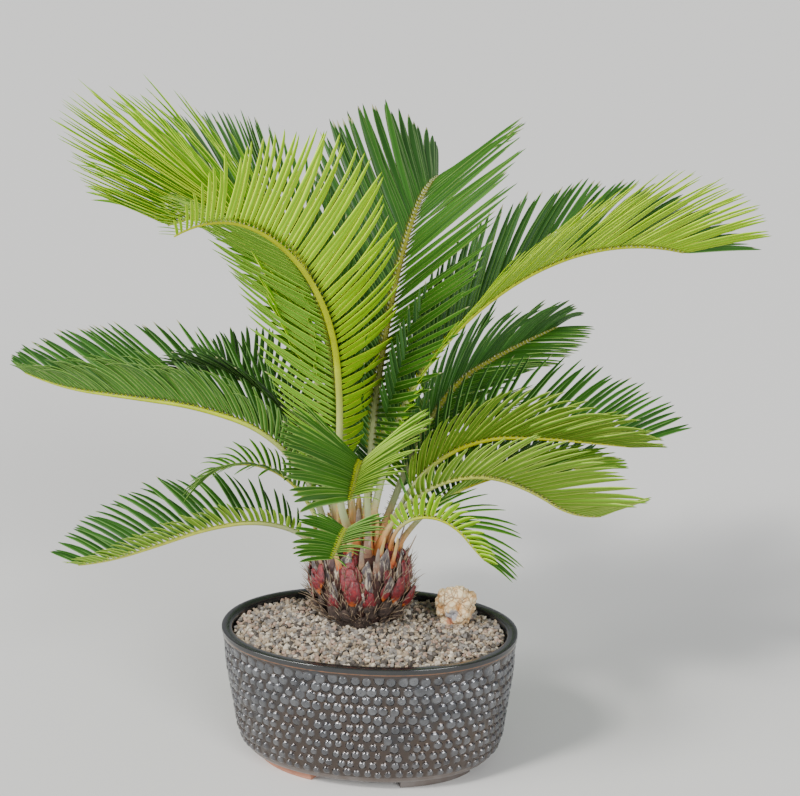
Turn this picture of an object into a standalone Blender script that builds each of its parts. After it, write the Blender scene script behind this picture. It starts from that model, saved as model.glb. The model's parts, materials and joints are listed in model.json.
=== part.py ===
"""Sago palm bonsai in an oval pot: fronds, trunk, grit, accent stone and pot, in metres, +Z up.

The pot's long axis lies along X and its feet stand on z = 0. Pieces are modelled from the pot's centre and
hung on an empty that brings the middle of the whole plant's footprint over the origin.
Every frond is a rachis with leaflets, sized and placed by one row of FRONDS.
"""
import math
from dataclasses import dataclass

import bmesh
import bpy
import numpy as np
from mathutils import Matrix, Vector, noise
from mathutils.bvhtree import BVHTree

GAP = 0.0003                 # clearance between pieces that touch
FOOTPRINT_X = -0.0158        # middle of the plant's footprint, from the pot's centre
FOOTPRINT_Y = 0.0501

# Pot
POT_HALF_LENGTH = 0.154
POT_HALF_DEPTH = 0.105
POT_ROUNDNESS = 2.12         # exponent of the oval
POT_HEIGHT = 0.140
POT_LIP = 0.012              # width of the lip's flat top
POT_WALL = 0.010
POT_FLOOR = 0.020            # height of the floor inside
POT_COVE = 0.012             # how far the inner wall turns in at the floor
POT_FLARE = 0.040            # height above which the inner wall follows the outside
LIP_BEVEL = 0.002
POT_SIDES = 44
POT_OUTSIDE = ((0.007, 0.780), (0.011, 0.842), (0.018, 0.882), (0.032, 0.910), (0.060, 0.935),
               (0.100, 0.972), (0.127, 0.980), (0.131, 0.990), (0.1375, 1.000), (0.140, 0.992))
FOOT_RING = 0.765            # outside of the foot ring, as a share of the lip's oval
FOOT_WIDTH = 0.014
FOOT_ROOT = 0.012            # how high the feet reach into the pot's underside
FOOT_BEVEL = 0.002
FOOT_TAPER = 0.008           # share of the oval by which the bevel draws the feet in
FRONT_SLOT = 0.086
END_SLOT = 0.056
SLOT_HEIGHT = 0.0069

# Grit
GRIT_TOP = 0.1370
GRIT_EDGE = 0.1352
GRIT_SHOULDER = 0.86         # share of the oval where the grit starts to fall to the wall

# Trunk
TRUNK_X = -0.016
TRUNK_Y = 0.040
TRUNK_PROFILE = ((0.034, 0.1373), (0.040, 0.145), (0.047, 0.157), (0.050, 0.171), (0.049, 0.185),
                 (0.043, 0.197), (0.034, 0.207), (0.022, 0.216), (0.010, 0.222))
TRUNK_TOP = 0.2235
TRUNK_SIDES = 18
WAIST = 3                    # last row of the profile below the shoulder
SCALE_ROWS = 6
SCALE_FIRST = 0.143          # heights of the lowest and the highest row of scales
SCALE_LAST = 0.200
SCALE_ROOT = 0.0035          # how far a scale is sunk into the core
SCALE_LIFT = 0.45            # how far a scale stands off the core
SCALES_PER_ROW = 8
SCALE_LENGTH = 0.026
SCALE_WIDTH = 0.021
SCALE_THICK = 0.008
SCALE_SIZES = (0.86, 1.12)
SCALE_JITTER = 0.07          # radians by which a scale may stray round the trunk
LEAN_STEP = 0.004            # height over which the core's slope is read
STUBS = 22
STUB_LENGTH = 0.040
STUB_WIDTH = 0.011
STUB_THICK = 0.005
STUB_INNER = 0.014           # the ring of the crown that the stubs fill
STUB_OUTER = 0.040
STUB_ROOT = 0.006
STUB_SIZES = (0.7, 1.15)
STUB_LEAN = (0.1, 0.6)       # at the middle and at the outside of the ring
STUB_CLEAR = 0.004
STALK_DEPTH = 0.012          # how far below its seat a stalk is kept clear of the stubs
GOLDEN_TURN = math.radians(137.5)

# Blade, the form of a scale, a stub and a leaflet
BLADE_SHOULDER = 0.55        # share of its length where it starts to taper
BLADE_FOOT = 0.62            # width at its root, as a share of the full width
BLADE_BELLY = 0.4            # share of its thickness that lies under its middle line

# Accent stone
STONE_X = 0.086
STONE_Y = 0.037
STONE_SIZE = (0.041, 0.036, 0.042)
STONE_REST = 0.40            # height of its middle above the grit, as a share of its size
STONE_BUMPS = 0.16
STONE_BUMP_SCALE = 3.1
STONE_TILT = math.radians(24)

# Fronds
RACHIS_BASE = 0.0042         # radius where the stalk leaves the crown
RACHIS_TIP = 0.0012
RACHIS_STEPS = 11
CLIMB_STEPS = 60             # steps in which a rachis is walked out
SINK_MOST = 0.020            # how far a stalk's start may move to meet the trunk
SINK_STEP = 0.0005
SPLIT_GAP = 0.0009           # clearance between the two halves of a cut rachis
SPLIT_STUB = 0.005           # last step before the cut, so that both ends face each other squarely
SPLIT_CLEAR = 0.006          # no leaflet's root is nearer past a cut, or a third of this before it
PROBE_SHARE = 0.25           # share of a stalk that is tried against the trunk
LEAFLETS = 17                # a side, on a frond of full size
LEAF_WIDTH = 0.0108
LEAF_THICK = 0.0016
LEAF_CLEAR = 0.0006          # how much a leaflet is fattened before it is tested
LEAF_SPREAD = ((0.0, 80), (0.25, 68), (0.6, 58), (0.85, 48), (1.0, 30))
SPREAD_EVEN = 80             # the spread all along a row that is wholly even
LEAF_GROWTH = ((0.0, 0.35), (0.12, 0.62), (0.3, 0.93), (0.5, 1.0))
LEAF_FADE = 1.6              # how late the leaflets shorten from the middle to the tip
LEAF_FORWARD = 0.10          # share of its length that a tip leans along the rachis
LEAF_FULL = 0.09             # a shorter leaflet is narrower too
LEAF_LOWEST = 0.145          # no leaflet reaches below this height
LEAF_SHRINKS = (1.0, 0.8, 0.6, 0.4)


@dataclass(frozen=True)
class Row:
    """The leaflets along one side of a rachis."""

    leaf: float              # longest leaflet
    vee: float               # angle between the row and the frond's upper side
    sweep: float = 1.0       # below 1 the leaflets lie closer along the rachis
    droop: float = 0.10      # share of its length that a tip hangs
    tip: float = 0.42        # size of the last leaflet, as a share of the longest
    even: float = 0.0        # 0 where the spread narrows to the tip, 1 where it stays as at the foot


@dataclass(frozen=True)
class Frond:
    """One frond: where it leaves the crown, how it climbs and turns, and its two rows of leaflets."""

    name: str
    seat: float              # degrees round the crown
    radius: float            # from the trunk's axis
    height: float
    heading: float           # degrees, 0 along +X, 90 along +Y
    climb: tuple             # slope in degrees at six even stations
    length: float
    roll: float              # degrees about the rachis at its base
    twist: float             # degrees by which the roll changes up to the tip
    bare: float              # share of the length with no leaflets
    split: float             # where the frond is cut in two at its bend, 0 for none
    right: Row               # seen looking out along the frond
    left: Row
    count: int = LEAFLETS


FRONDS = (
    Frond("frond_front_tall", 265, 0.020, 0.223, 239, (55, 96, 84, 54, 25, -17), 0.489, 72, -63, 0.16, 0.60,
          Row(0.125, 60, 0.85, -0.02, 0.10, 0.60), Row(0.143, 33, 1.29, -0.04, 0.10, 0.67), 19),
    Frond("frond_left_tall", 170, 0.024, 0.219, 135.6, (75, 78, 74, 16, -10, -18), 0.571, -37, -8, 0.30, 0.52,
          Row(0.216, 11, 1.13, 0.18, 0.54, 0.30), Row(0.216, 11, 0.84, -0.06, 0.40, 1.0)),
    Frond("frond_centre_tall", 65, 0.011, 0.228, 82, (84, 74, 62, 51, 35, 4), 0.445, -14, 25, 0.18, 0.0,
          Row(0.172, 51, 1.2, 0.08, 0.67), Row(0.185, 74, 0.6, 0.0, 0.56)),
    Frond("frond_right_tall", 335, 0.011, 0.228, 39, (77, 71, 41, 22, 2, -16), 0.540, 15, -25, 0.20, 0.44,
          Row(0.160, 53, 1.2, 0.0, 0.6), Row(0.124, 26, 0.5, 0.0, 0.95), 18),
    Frond("frond_right_mid", 8, 0.025, 0.218, 11, (72, 57, 28, -1, -6, -7), 0.308, -14, 25, 0.20, 0.42,
          Row(0.096, 26, 0.5, 0.0, 0.35), Row(0.118, 49, 0.9, 0.0, 0.55), 16),
    Frond("frond_right_rear", 45, 0.025, 0.218, 60, (58, 55, 37, 10, 7, 5), 0.380, 15, 25, 0.20, 0.0,
          Row(0.082, 56, 0.85, 0.12, 0.6), Row(0.118, 26, 0.5, 0.20, 0.45), 13),
    Frond("frond_back_tall", 118, 0.022, 0.220, 133, (78, 78, 68, 26, 6, 6), 0.535, -15, -25, 0.20, 0.54,
          Row(0.130, 26, 0.8, 0.0, 0.95), Row(0.105, 50), 15),
    Frond("frond_left_rear", 150, 0.028, 0.214, 158, (72, 68, 54, 26, 2, -16), 0.290, 0, 0, 0.25, 0.0,
          Row(0.085, 50), Row(0.080, 50), 12),
    Frond("frond_left_mid", 188, 0.034, 0.208, 168, (87, 53, 13, 1, 1, 17), 0.438, 6, -4, 0.14, 0.36,
          Row(0.155, 41, 0.5, 0.0, 0.15), Row(0.102, 32, 1.1, 0.18, 0.20)),
    Frond("frond_front_mid", 300, 0.024, 0.219, 277, (90, 70, 33, 7, 2, 0), 0.290, 0, 0, 0.30, 0.42,
          Row(0.115, 49, 0.8, 0.0, 0.95), Row(0.102, 48, 1.1, 0.08, 0.60), 14),
    Frond("frond_right_low", 325, 0.026, 0.218, 18, (67, 43, 10, -22, -36, 2), 0.276, 6, -25, 0.20, 0.46,
          Row(0.117, 55, 1.1, 0.0, 0.45), Row(0.090, 45, 1.0, 0.10, 0.60), 14),
    Frond("frond_right_under", 28, 0.038, 0.203, 35, (56, 34, 14, 2, -6, -12), 0.260, 0, 0, 0.20, 0.0,
          Row(0.090, 50), Row(0.090, 50), 11),
    Frond("frond_back_right", 70, 0.038, 0.203, 68, (64, 42, 20, 2, -8, -12), 0.300, 0, 0, 0.20, 0.0,
          Row(0.100, 50), Row(0.100, 50), 12),
    Frond("frond_back_low", 100, 0.038, 0.203, 92, (56, 34, 12, 0, -8, -14), 0.300, 0, 0, 0.20, 0.0,
          Row(0.100, 50), Row(0.100, 50), 12),
    Frond("frond_back_left", 130, 0.038, 0.203, 122, (60, 40, 16, 0, -10, -16), 0.290, 0, 0, 0.20, 0.0,
          Row(0.100, 50), Row(0.100, 50), 12),
    Frond("frond_left_under", 222, 0.037, 0.205, 191, (78, 70, 56, 28, -6, -44), 0.190, 0, 0, 0.30, 0.0,
          Row(0.052, 60, 1.0, 0.35), Row(0.058, 60, 1.0, 0.35), 8),
    Frond("frond_left_low", 205, 0.038, 0.200, 198, (65, 22, -6, -18, -16, -3), 0.273, 10, -14, 0.15, 0.0,
          Row(0.092, 46, 1.05, 0.06, 0.35), Row(0.037, 30, 1.05, 0.0, 0.5), 14),
    Frond("frond_front_small", 262, 0.030, 0.216, 273, (83, 45, 8, 0, 0, 2), 0.138, 0, 0, 0.20, 0.0,
          Row(0.056, 56, 1.0, 0.10, 0.95), Row(0.063, 58, 1.1, 0.14, 0.60), 9),
    Frond("frond_right_small", 345, 0.034, 0.214, 344, (85, 48, 15, -18, -47, -40), 0.14, -11, -12, 0.15, 0.0,
          Row(0.035, 31, 1.1, 0.0, 0.40), Row(0.074, 49, 0.8, 0.20, 0.40), 11),
)

SEED = 7


def clear_scene():
    """Empty the scene of its objects."""
    for obj in list(bpy.data.objects):
        bpy.data.objects.remove(obj, do_unlink=True)


def new_collection(name):
    """Make a collection and link it to the scene."""
    collection = bpy.data.collections.new(name)
    bpy.context.scene.collection.children.link(collection)
    return collection


def new_material(name, colour, roughness, metallic=0.0, coat=0.0):
    """Make a Principled material."""
    material = bpy.data.materials.new(name)
    material.use_nodes = True
    shader = material.node_tree.nodes["Principled BSDF"]
    shader.inputs["Base Color"].default_value = (*colour, 1.0)
    shader.inputs["Roughness"].default_value = roughness
    shader.inputs["Metallic"].default_value = metallic
    shader.inputs["Coat Weight"].default_value = coat
    material.diffuse_color = (*colour, 1.0)
    return material


def add_object(name, bm, collection, material=None):
    """Write a bmesh to a new object and free it."""
    bmesh.ops.recalc_face_normals(bm, faces=bm.faces)
    if bm.calc_volume(signed=True) < 0:
        bmesh.ops.reverse_faces(bm, faces=bm.faces)
    mesh = bpy.data.meshes.new(name)
    bm.to_mesh(mesh)
    bm.free()
    obj = bpy.data.objects.new(name, mesh)
    collection.objects.link(obj)
    if material:
        mesh.materials.append(material)
    return obj


def apply_boolean(obj, operation, other=None, collection=None):
    """Join or cut with one object or a whole collection, and apply it."""
    modifier = obj.modifiers.new("join", "BOOLEAN")
    modifier.operation = operation
    modifier.solver = "EXACT"
    if collection:
        modifier.operand_type = "COLLECTION"
        modifier.collection = collection
    else:
        modifier.object = other
    graph = bpy.context.evaluated_depsgraph_get()
    mesh = bpy.data.meshes.new_from_object(obj.evaluated_get(graph))
    obj.modifiers.clear()
    old = obj.data
    obj.data = mesh
    bpy.data.meshes.remove(old)


def join_pieces(obj, pieces):
    """Fuse a collection of loose pieces into the object, and remove them."""
    apply_boolean(obj, "UNION", collection=pieces)
    for piece in list(pieces.objects):
        mesh = piece.data
        bpy.data.objects.remove(piece, do_unlink=True)
        bpy.data.meshes.remove(mesh)
    bpy.data.collections.remove(pieces)
    keep_largest_body(obj)


def face_groups(bm):
    """The faces of each body, walked from face to face over shared edges."""
    left = set(bm.faces)
    groups = []
    while left:
        stack = [left.pop()]
        group = list(stack)
        while stack:
            for edge in stack.pop().edges:
                for face in edge.link_faces:
                    if face in left:
                        left.discard(face)
                        group.append(face)
                        stack.append(face)
        groups.append(group)
    return groups


def keep_largest_body(obj):
    """Drop any scrap that hangs loose, and cut the faces into triangles."""
    bm = bmesh.new()
    bm.from_mesh(obj.data)
    groups = sorted(face_groups(bm), key=len)
    scrap = [face for group in groups[:-1] for face in group]
    bmesh.ops.delete(bm, geom=scrap, context="FACES")
    bmesh.ops.triangulate(bm, faces=bm.faces)
    bm.to_mesh(obj.data)
    bm.free()


def oval(share, z, sides=POT_SIDES, inset=0.0):
    """Points of the pot's oval at one height."""
    points = []
    for i in range(sides):
        turn = 2 * math.pi * i / sides
        c, s = math.cos(turn), math.sin(turn)
        power = 2 / POT_ROUNDNESS
        x = (POT_HALF_LENGTH * share - inset) * math.copysign(abs(c) ** power, c)
        y = (POT_HALF_DEPTH * share - inset) * math.copysign(abs(s) ** power, s)
        points.append(Vector((x, y, z)))
    return points


def extrude_rings(bm, sections, closed=False):
    """Extrude a circle through sections of equal count, then cap it or join its two ends."""
    made = bmesh.ops.create_circle(bm, cap_ends=not closed, segments=len(sections[0]), radius=1.0)
    ring = made["verts"]
    for vert, point in zip(ring, sections[0]):
        vert.co = point
    first = edges = bm.edges[:]
    for section in sections[1:]:
        made = bmesh.ops.extrude_edge_only(bm, edges=edges)["geom"]
        fresh = {item for item in made if isinstance(item, bmesh.types.BMVert)}
        ring = [next(e.other_vert(v) for e in v.link_edges if e.other_vert(v) in fresh) for v in ring]
        edges = [e for v in ring for e in v.link_edges if e.other_vert(v) in fresh]
        edges = list(dict.fromkeys(edges))
        for vert, point in zip(ring, section):
            vert.co = point
    if closed:
        bmesh.ops.bridge_loops(bm, edges=first + edges)
    else:
        bmesh.ops.edgeloop_fill(bm, edges=edges)


def outside_share(z):
    """The pot's outer oval at a height, as a share of the lip's."""
    heights = [h for h, _ in POT_OUTSIDE]
    shares = [s for _, s in POT_OUTSIDE]
    return float(np.interp(z, heights, shares))


def inside_sections(gap=0.0, top=POT_HEIGHT):
    """Rings of the pot's inner wall from the floor up to a height."""
    lip_base = POT_HEIGHT - POT_LIP
    sections = [oval(outside_share(POT_FLOOR), POT_FLOOR + gap, inset=POT_WALL + POT_COVE + gap)]
    for z in (POT_FLARE, lip_base - 2 * LIP_BEVEL):
        sections.append(oval(outside_share(z), z, inset=POT_WALL + gap))
    sections.append(oval(1.0, lip_base, inset=POT_LIP + gap))
    sections.append(oval(1.0, top, inset=POT_LIP + gap))
    return sections


def make_pot(collection, cutters, material):
    """The oval pot: a lofted bowl on a foot ring that slots cut into four feet."""
    bm = bmesh.new()
    outer = [oval(share, z) for z, share in POT_OUTSIDE]
    inner = inside_sections()
    inner[-1] = oval(1.0, POT_HEIGHT - LIP_BEVEL, inset=POT_LIP)
    inner.append(oval(1.0, POT_HEIGHT, inset=POT_LIP - LIP_BEVEL))
    extrude_rings(bm, outer + inner[::-1])
    pot = add_object("pot", bm, collection, material)

    bm = bmesh.new()
    ring_out = [oval(FOOT_RING - FOOT_TAPER, 0.0), oval(FOOT_RING, FOOT_BEVEL), oval(FOOT_RING, FOOT_ROOT)]
    ring_in = [oval(FOOT_RING, FOOT_ROOT, inset=FOOT_WIDTH), oval(FOOT_RING, 0.0, inset=FOOT_WIDTH)]
    extrude_rings(bm, ring_out + ring_in, closed=True)
    ring = add_object("foot_ring", bm, cutters)

    for name, size in (("slot_front", (FRONT_SLOT, 4 * POT_HALF_DEPTH)),
                       ("slot_ends", (4 * POT_HALF_LENGTH, END_SLOT))):
        bm = bmesh.new()
        bmesh.ops.create_cube(bm, size=1.0)
        scale = (size[0], size[1], 2 * SLOT_HEIGHT)
        bmesh.ops.scale(bm, vec=scale, verts=bm.verts)
        slot = add_object(name, bm, cutters)
        apply_boolean(ring, "DIFFERENCE", slot)
        hide(slot)
    apply_boolean(pot, "UNION", ring)
    hide(ring)
    keep_largest_body(pot)
    return pot


def hide(obj):
    """Keep a cutter out of the renders and the export."""
    obj.hide_render = True
    obj.display_type = "WIRE"


def make_grit(collection, material):
    """The fill of grit, flat in the middle and falling to the wall."""
    bm = bmesh.new()
    sections = inside_sections(gap=GAP, top=GRIT_EDGE)
    inset = POT_LIP + GAP
    sections.append(oval(GRIT_SHOULDER, GRIT_TOP, inset=inset))
    extrude_rings(bm, sections)
    return add_object("grit", bm, collection, material)


def make_stone(collection, material):
    """The accent stone: a sphere roughened by noise, cut flat where it stands."""
    bm = bmesh.new()
    bmesh.ops.create_icosphere(bm, subdivisions=2, radius=0.5)
    for vert in bm.verts:
        vert.co *= 1.0 + STONE_BUMPS * noise.noise(vert.co * STONE_BUMP_SCALE + Vector((4.0, 1.0, 2.0)))
    bmesh.ops.scale(bm, vec=STONE_SIZE, verts=bm.verts)
    bmesh.ops.rotate(bm, verts=bm.verts, matrix=Matrix.Rotation(STONE_TILT, 3, "Y"))
    base = GRIT_TOP + GAP
    bmesh.ops.translate(bm, verts=bm.verts, vec=(STONE_X, STONE_Y, base + STONE_REST * STONE_SIZE[2]))
    everything = bm.verts[:] + bm.edges[:] + bm.faces[:]
    cut = bmesh.ops.bisect_plane(bm, geom=everything, plane_co=(0, 0, base), plane_no=(0, 0, 1),
                                 clear_inner=True)
    edges = [e for e in cut["geom_cut"] if isinstance(e, bmesh.types.BMEdge)]
    bmesh.ops.holes_fill(bm, edges=edges)
    return add_object("accent_stone", bm, collection, material)


def blade(root, tip, across, up, width, thick, bend=None):
    """A pointed blade: a three-sided cone primitive bent along a curve and pressed flat."""
    bm = bmesh.new()
    bmesh.ops.create_cone(bm, cap_ends=True, segments=3, radius1=1.0, radius2=0.0, depth=1.0)
    bmesh.ops.translate(bm, verts=bm.verts, vec=(0, 0, 0.5))
    everything = bm.verts[:] + bm.edges[:] + bm.faces[:]
    bmesh.ops.bisect_plane(bm, geom=everything, plane_co=(0, 0, BLADE_SHOULDER), plane_no=(0, 0, 1))
    bend = bend or Vector((0, 0, 0))
    top = max(v.co.y for v in bm.verts)
    low = min(v.co.y for v in bm.verts)
    for vert in bm.verts:
        t = vert.co.z
        full = BLADE_FOOT if t < BLADE_SHOULDER / 2 else 1.0
        x = y = 0.0
        if t < (1 + BLADE_SHOULDER) / 2:
            x = vert.co.x / (1.0 - t) * full
            y = vert.co.y / (1.0 - t)
        y = (y - low) / (top - low)
        middle = root + (tip - root) * t + bend * t * t
        vert.co = middle + across * (x * width / math.sqrt(3)) + up * ((y - BLADE_BELLY) * thick * full)
    return bm


def core_radius(z):
    """The trunk's bare radius at a height."""
    heights = [h for _, h in TRUNK_PROFILE]
    radii = [r for r, _ in TRUNK_PROFILE]
    return float(np.interp(z, heights, radii))


def make_core(collection, material):
    """The bare caudex: its profile turned by a Screw."""
    bm = bmesh.new()
    profile = [(0.0, TRUNK_TOP)] + list(reversed(TRUNK_PROFILE)) + [(0.0, TRUNK_PROFILE[0][1])]
    verts = [bm.verts.new((radius, 0.0, z)) for radius, z in profile]
    for upper, lower in zip(verts, verts[1:]):
        bm.edges.new((upper, lower))
    mesh = bpy.data.meshes.new("trunk_profile")
    bm.to_mesh(mesh)
    bm.free()
    turned = bpy.data.objects.new("trunk_profile", mesh)
    collection.objects.link(turned)
    screw = turned.modifiers.new("turn", "SCREW")
    screw.steps = TRUNK_SIDES
    screw.render_steps = TRUNK_SIDES
    screw.use_merge_vertices = True
    screw.merge_threshold = 0.0001
    graph = bpy.context.evaluated_depsgraph_get()
    bm = bmesh.new()
    bm.from_mesh(turned.evaluated_get(graph).to_mesh())
    bpy.data.objects.remove(turned, do_unlink=True)
    bpy.data.meshes.remove(mesh)
    bmesh.ops.translate(bm, verts=bm.verts, vec=(TRUNK_X, TRUNK_Y, 0.0))
    return add_object("trunk", bm, collection, material)


def crown_height(radius):
    """The height of the caudex's shoulder at a radius."""
    shoulder = TRUNK_PROFILE[:WAIST:-1]
    return float(np.interp(radius, [r for r, _ in shoulder], [z for _, z in shoulder]))


def make_trunk(collection, material, stalks):
    """The caudex: a turned core with rows of leaf-base scales and cut stubs on its crown."""
    rng = np.random.default_rng(SEED)
    axis = Vector((TRUNK_X, TRUNK_Y, 0))
    rise = Vector((0, 0, 1))
    trunk = make_core(collection, material)
    pieces = new_collection("trunk_pieces")
    for row in range(SCALE_ROWS):
        z = SCALE_FIRST + (SCALE_LAST - SCALE_FIRST) * row / (SCALE_ROWS - 1)
        lean = (core_radius(z + LEAN_STEP) - core_radius(z - LEAN_STEP)) / (2 * LEAN_STEP)
        for k in range(SCALES_PER_ROW):
            turn = 2 * math.pi * (k + 0.5 * (row % 2)) / SCALES_PER_ROW
            turn += rng.uniform(-SCALE_JITTER, SCALE_JITTER)
            out = Vector((math.cos(turn), math.sin(turn), 0))
            along = (rise + out * lean).normalized()
            size = rng.uniform(*SCALE_SIZES)
            root = axis + out * (core_radius(z) - SCALE_ROOT) + rise * z - along * SCALE_ROOT
            tip = root + (along + out * SCALE_LIFT).normalized() * SCALE_LENGTH * size
            across = Vector((-out.y, out.x, 0))
            up = along.cross(across)
            up = up if up.dot(out) > 0 else -up
            scale = blade(root, tip, across, up, SCALE_WIDTH * size, SCALE_THICK)
            add_object("scale", scale, pieces)
    for k in range(STUBS):
        turn = GOLDEN_TURN * k
        share = math.sqrt((k + 0.5) / STUBS)
        radius = STUB_INNER + (STUB_OUTER - STUB_INNER) * share
        out = Vector((math.cos(turn), math.sin(turn), 0))
        size = rng.uniform(*STUB_SIZES)
        root = axis + out * radius + rise * (crown_height(radius) - STUB_ROOT)
        lean = STUB_LEAN[0] + (STUB_LEAN[1] - STUB_LEAN[0]) * share ** 2
        tip = root + (rise + out * lean).normalized() * STUB_LENGTH * size
        across = Vector((-out.y, out.x, 0))
        up = (tip - root).normalized().cross(across)
        test = blade(root, tip, across, up, STUB_WIDTH + STUB_CLEAR, STUB_THICK + STUB_CLEAR)
        tree = BVHTree.FromBMesh(test)
        test.free()
        if not any(stalk.overlap(tree) for stalk in stalks):
            add_object("stub", blade(root, tip, across, up, STUB_WIDTH, STUB_THICK), pieces)
    join_pieces(trunk, pieces)
    return trunk


def leaf_size(place, tip):
    """A leaflet's length at a share of the leafy part, as a share of the longest."""
    if place < 0.5:
        return float(np.interp(place, *zip(*LEAF_GROWTH)))
    return 1.0 - (1.0 - tip) * (2 * place - 1) ** LEAF_FADE


class Rachis:
    """A frond's rachis walked out from its seat, with the frame its leaflets stand in."""

    def __init__(self, frond):
        self.frond = frond
        self.share = np.linspace(0.0, 1.0, CLIMB_STEPS + 1)
        heading = math.radians(frond.heading)
        slope = np.radians(np.interp(self.share, np.linspace(0, 1, len(frond.climb)), frond.climb))
        flat = np.array([math.cos(heading), math.sin(heading), 0.0])
        rise = np.array([0.0, 0.0, 1.0])
        self.along = np.outer(np.cos(slope), flat) + np.outer(np.sin(slope), rise)
        normal = np.outer(-np.sin(slope), flat) + np.outer(np.cos(slope), rise)
        side = np.cross(self.along, normal)
        roll = np.radians(frond.roll + frond.twist * self.share)[:, None]
        self.normal = np.cos(roll) * normal + np.sin(roll) * side
        self.side = np.cos(roll) * side - np.sin(roll) * normal
        seat = math.radians(frond.seat)
        start = np.array([TRUNK_X + frond.radius * math.cos(seat),
                          TRUNK_Y + frond.radius * math.sin(seat), frond.height])
        step = (self.along[1:] + self.along[:-1]) / 2 * frond.length / CLIMB_STEPS
        self.points = np.vstack([start, start + np.cumsum(step, axis=0)])

    def at(self, share, values):
        """One of the walked arrays at a share of the length, as a vector."""
        return Vector([float(np.interp(share, self.share, values[:, k])) for k in range(3)])

    def radius(self, share):
        """The rachis's radius at a share of the length."""
        return RACHIS_BASE + (RACHIS_TIP - RACHIS_BASE) * share

    def tube(self, name, start, end, sink=0.0, extra=0.0):
        """A tapered tube along part of the rachis, from a bevelled curve."""
        start = max(start, -sink / self.frond.length)
        steps = max(3, round(RACHIS_STEPS * (end - start)))
        stations = [start + (end - start) * i / steps for i in range(steps + 1)]
        short = SPLIT_STUB / self.frond.length
        if start > self.frond.bare:
            stations.insert(1, start + short)
        if end < 1.0:
            stations.insert(-1, end - short)
        places = [self.at(s, self.points) for s in stations]
        radii = [self.radius(s) + extra for s in stations]
        if sink > 0:
            places[0] = places[0] - self.at(0.0, self.along) * sink
        curve = bpy.data.curves.new(name, "CURVE")
        curve.dimensions = "3D"
        curve.twist_mode = "MINIMUM"
        curve.bevel_depth = 1.0
        curve.bevel_resolution = 0
        curve.use_fill_caps = True
        spline = curve.splines.new("POLY")
        spline.points.add(len(places) - 1)
        for point, place, radius in zip(spline.points, places, radii):
            point.co = (*place, 1.0)
            point.radius = radius
        holder = bpy.data.objects.new(name, curve)
        bpy.context.scene.collection.objects.link(holder)
        graph = bpy.context.evaluated_depsgraph_get()
        mesh = bpy.data.meshes.new_from_object(holder.evaluated_get(graph))
        bm = bmesh.new()
        bm.from_mesh(mesh)
        bmesh.ops.remove_doubles(bm, verts=bm.verts, dist=0.00001)
        bpy.data.meshes.remove(mesh)
        bpy.data.objects.remove(holder, do_unlink=True)
        bpy.data.curves.remove(curve)
        return bm

    def leaflet(self, place, side, shrink=1.0, clear=0.0):
        """One leaflet's blade, at a share of the leafy part, on one side."""
        frond = self.frond
        row = frond.right if side > 0 else frond.left
        share = frond.bare + (1 - frond.bare) * place
        root = self.at(share, self.points)
        along = self.at(share, self.along).normalized()
        narrowing = np.interp(place, *zip(*LEAF_SPREAD)) * (1 - row.even)
        spread = math.radians((narrowing + SPREAD_EVEN * row.even) * row.sweep)
        vee = math.radians(row.vee)
        out = self.at(share, self.normal) * math.cos(vee)
        out += self.at(share, self.side) * (side * math.sin(vee))
        ray = along * math.cos(spread) + out * math.sin(spread)
        length = row.leaf * leaf_size(place, row.tip) * shrink
        bend = (along * LEAF_FORWARD - Vector((0, 0, row.droop))) * length
        across = (along - ray * along.dot(ray)).normalized()
        up = ray.cross(across)
        width = LEAF_WIDTH * min(1.0, (1 + length / LEAF_FULL) / 2) + 2 * clear
        return blade(root, root + ray * (length + clear), across, up, width,
                     LEAF_THICK + 2 * clear, bend)


def stalk_sink(rachis, trunk_tree):
    """How far a stalk runs back from its seat, or starts past it, to stop clear of the trunk."""
    for sink in np.arange(SINK_MOST, -SINK_MOST, -SINK_STEP):
        test = rachis.tube("probe", 0.0, PROBE_SHARE, sink=sink + GAP, extra=GAP)
        tree = BVHTree.FromBMesh(test)
        test.free()
        if not tree.overlap(trunk_tree):
            break
    return float(sink)


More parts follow.
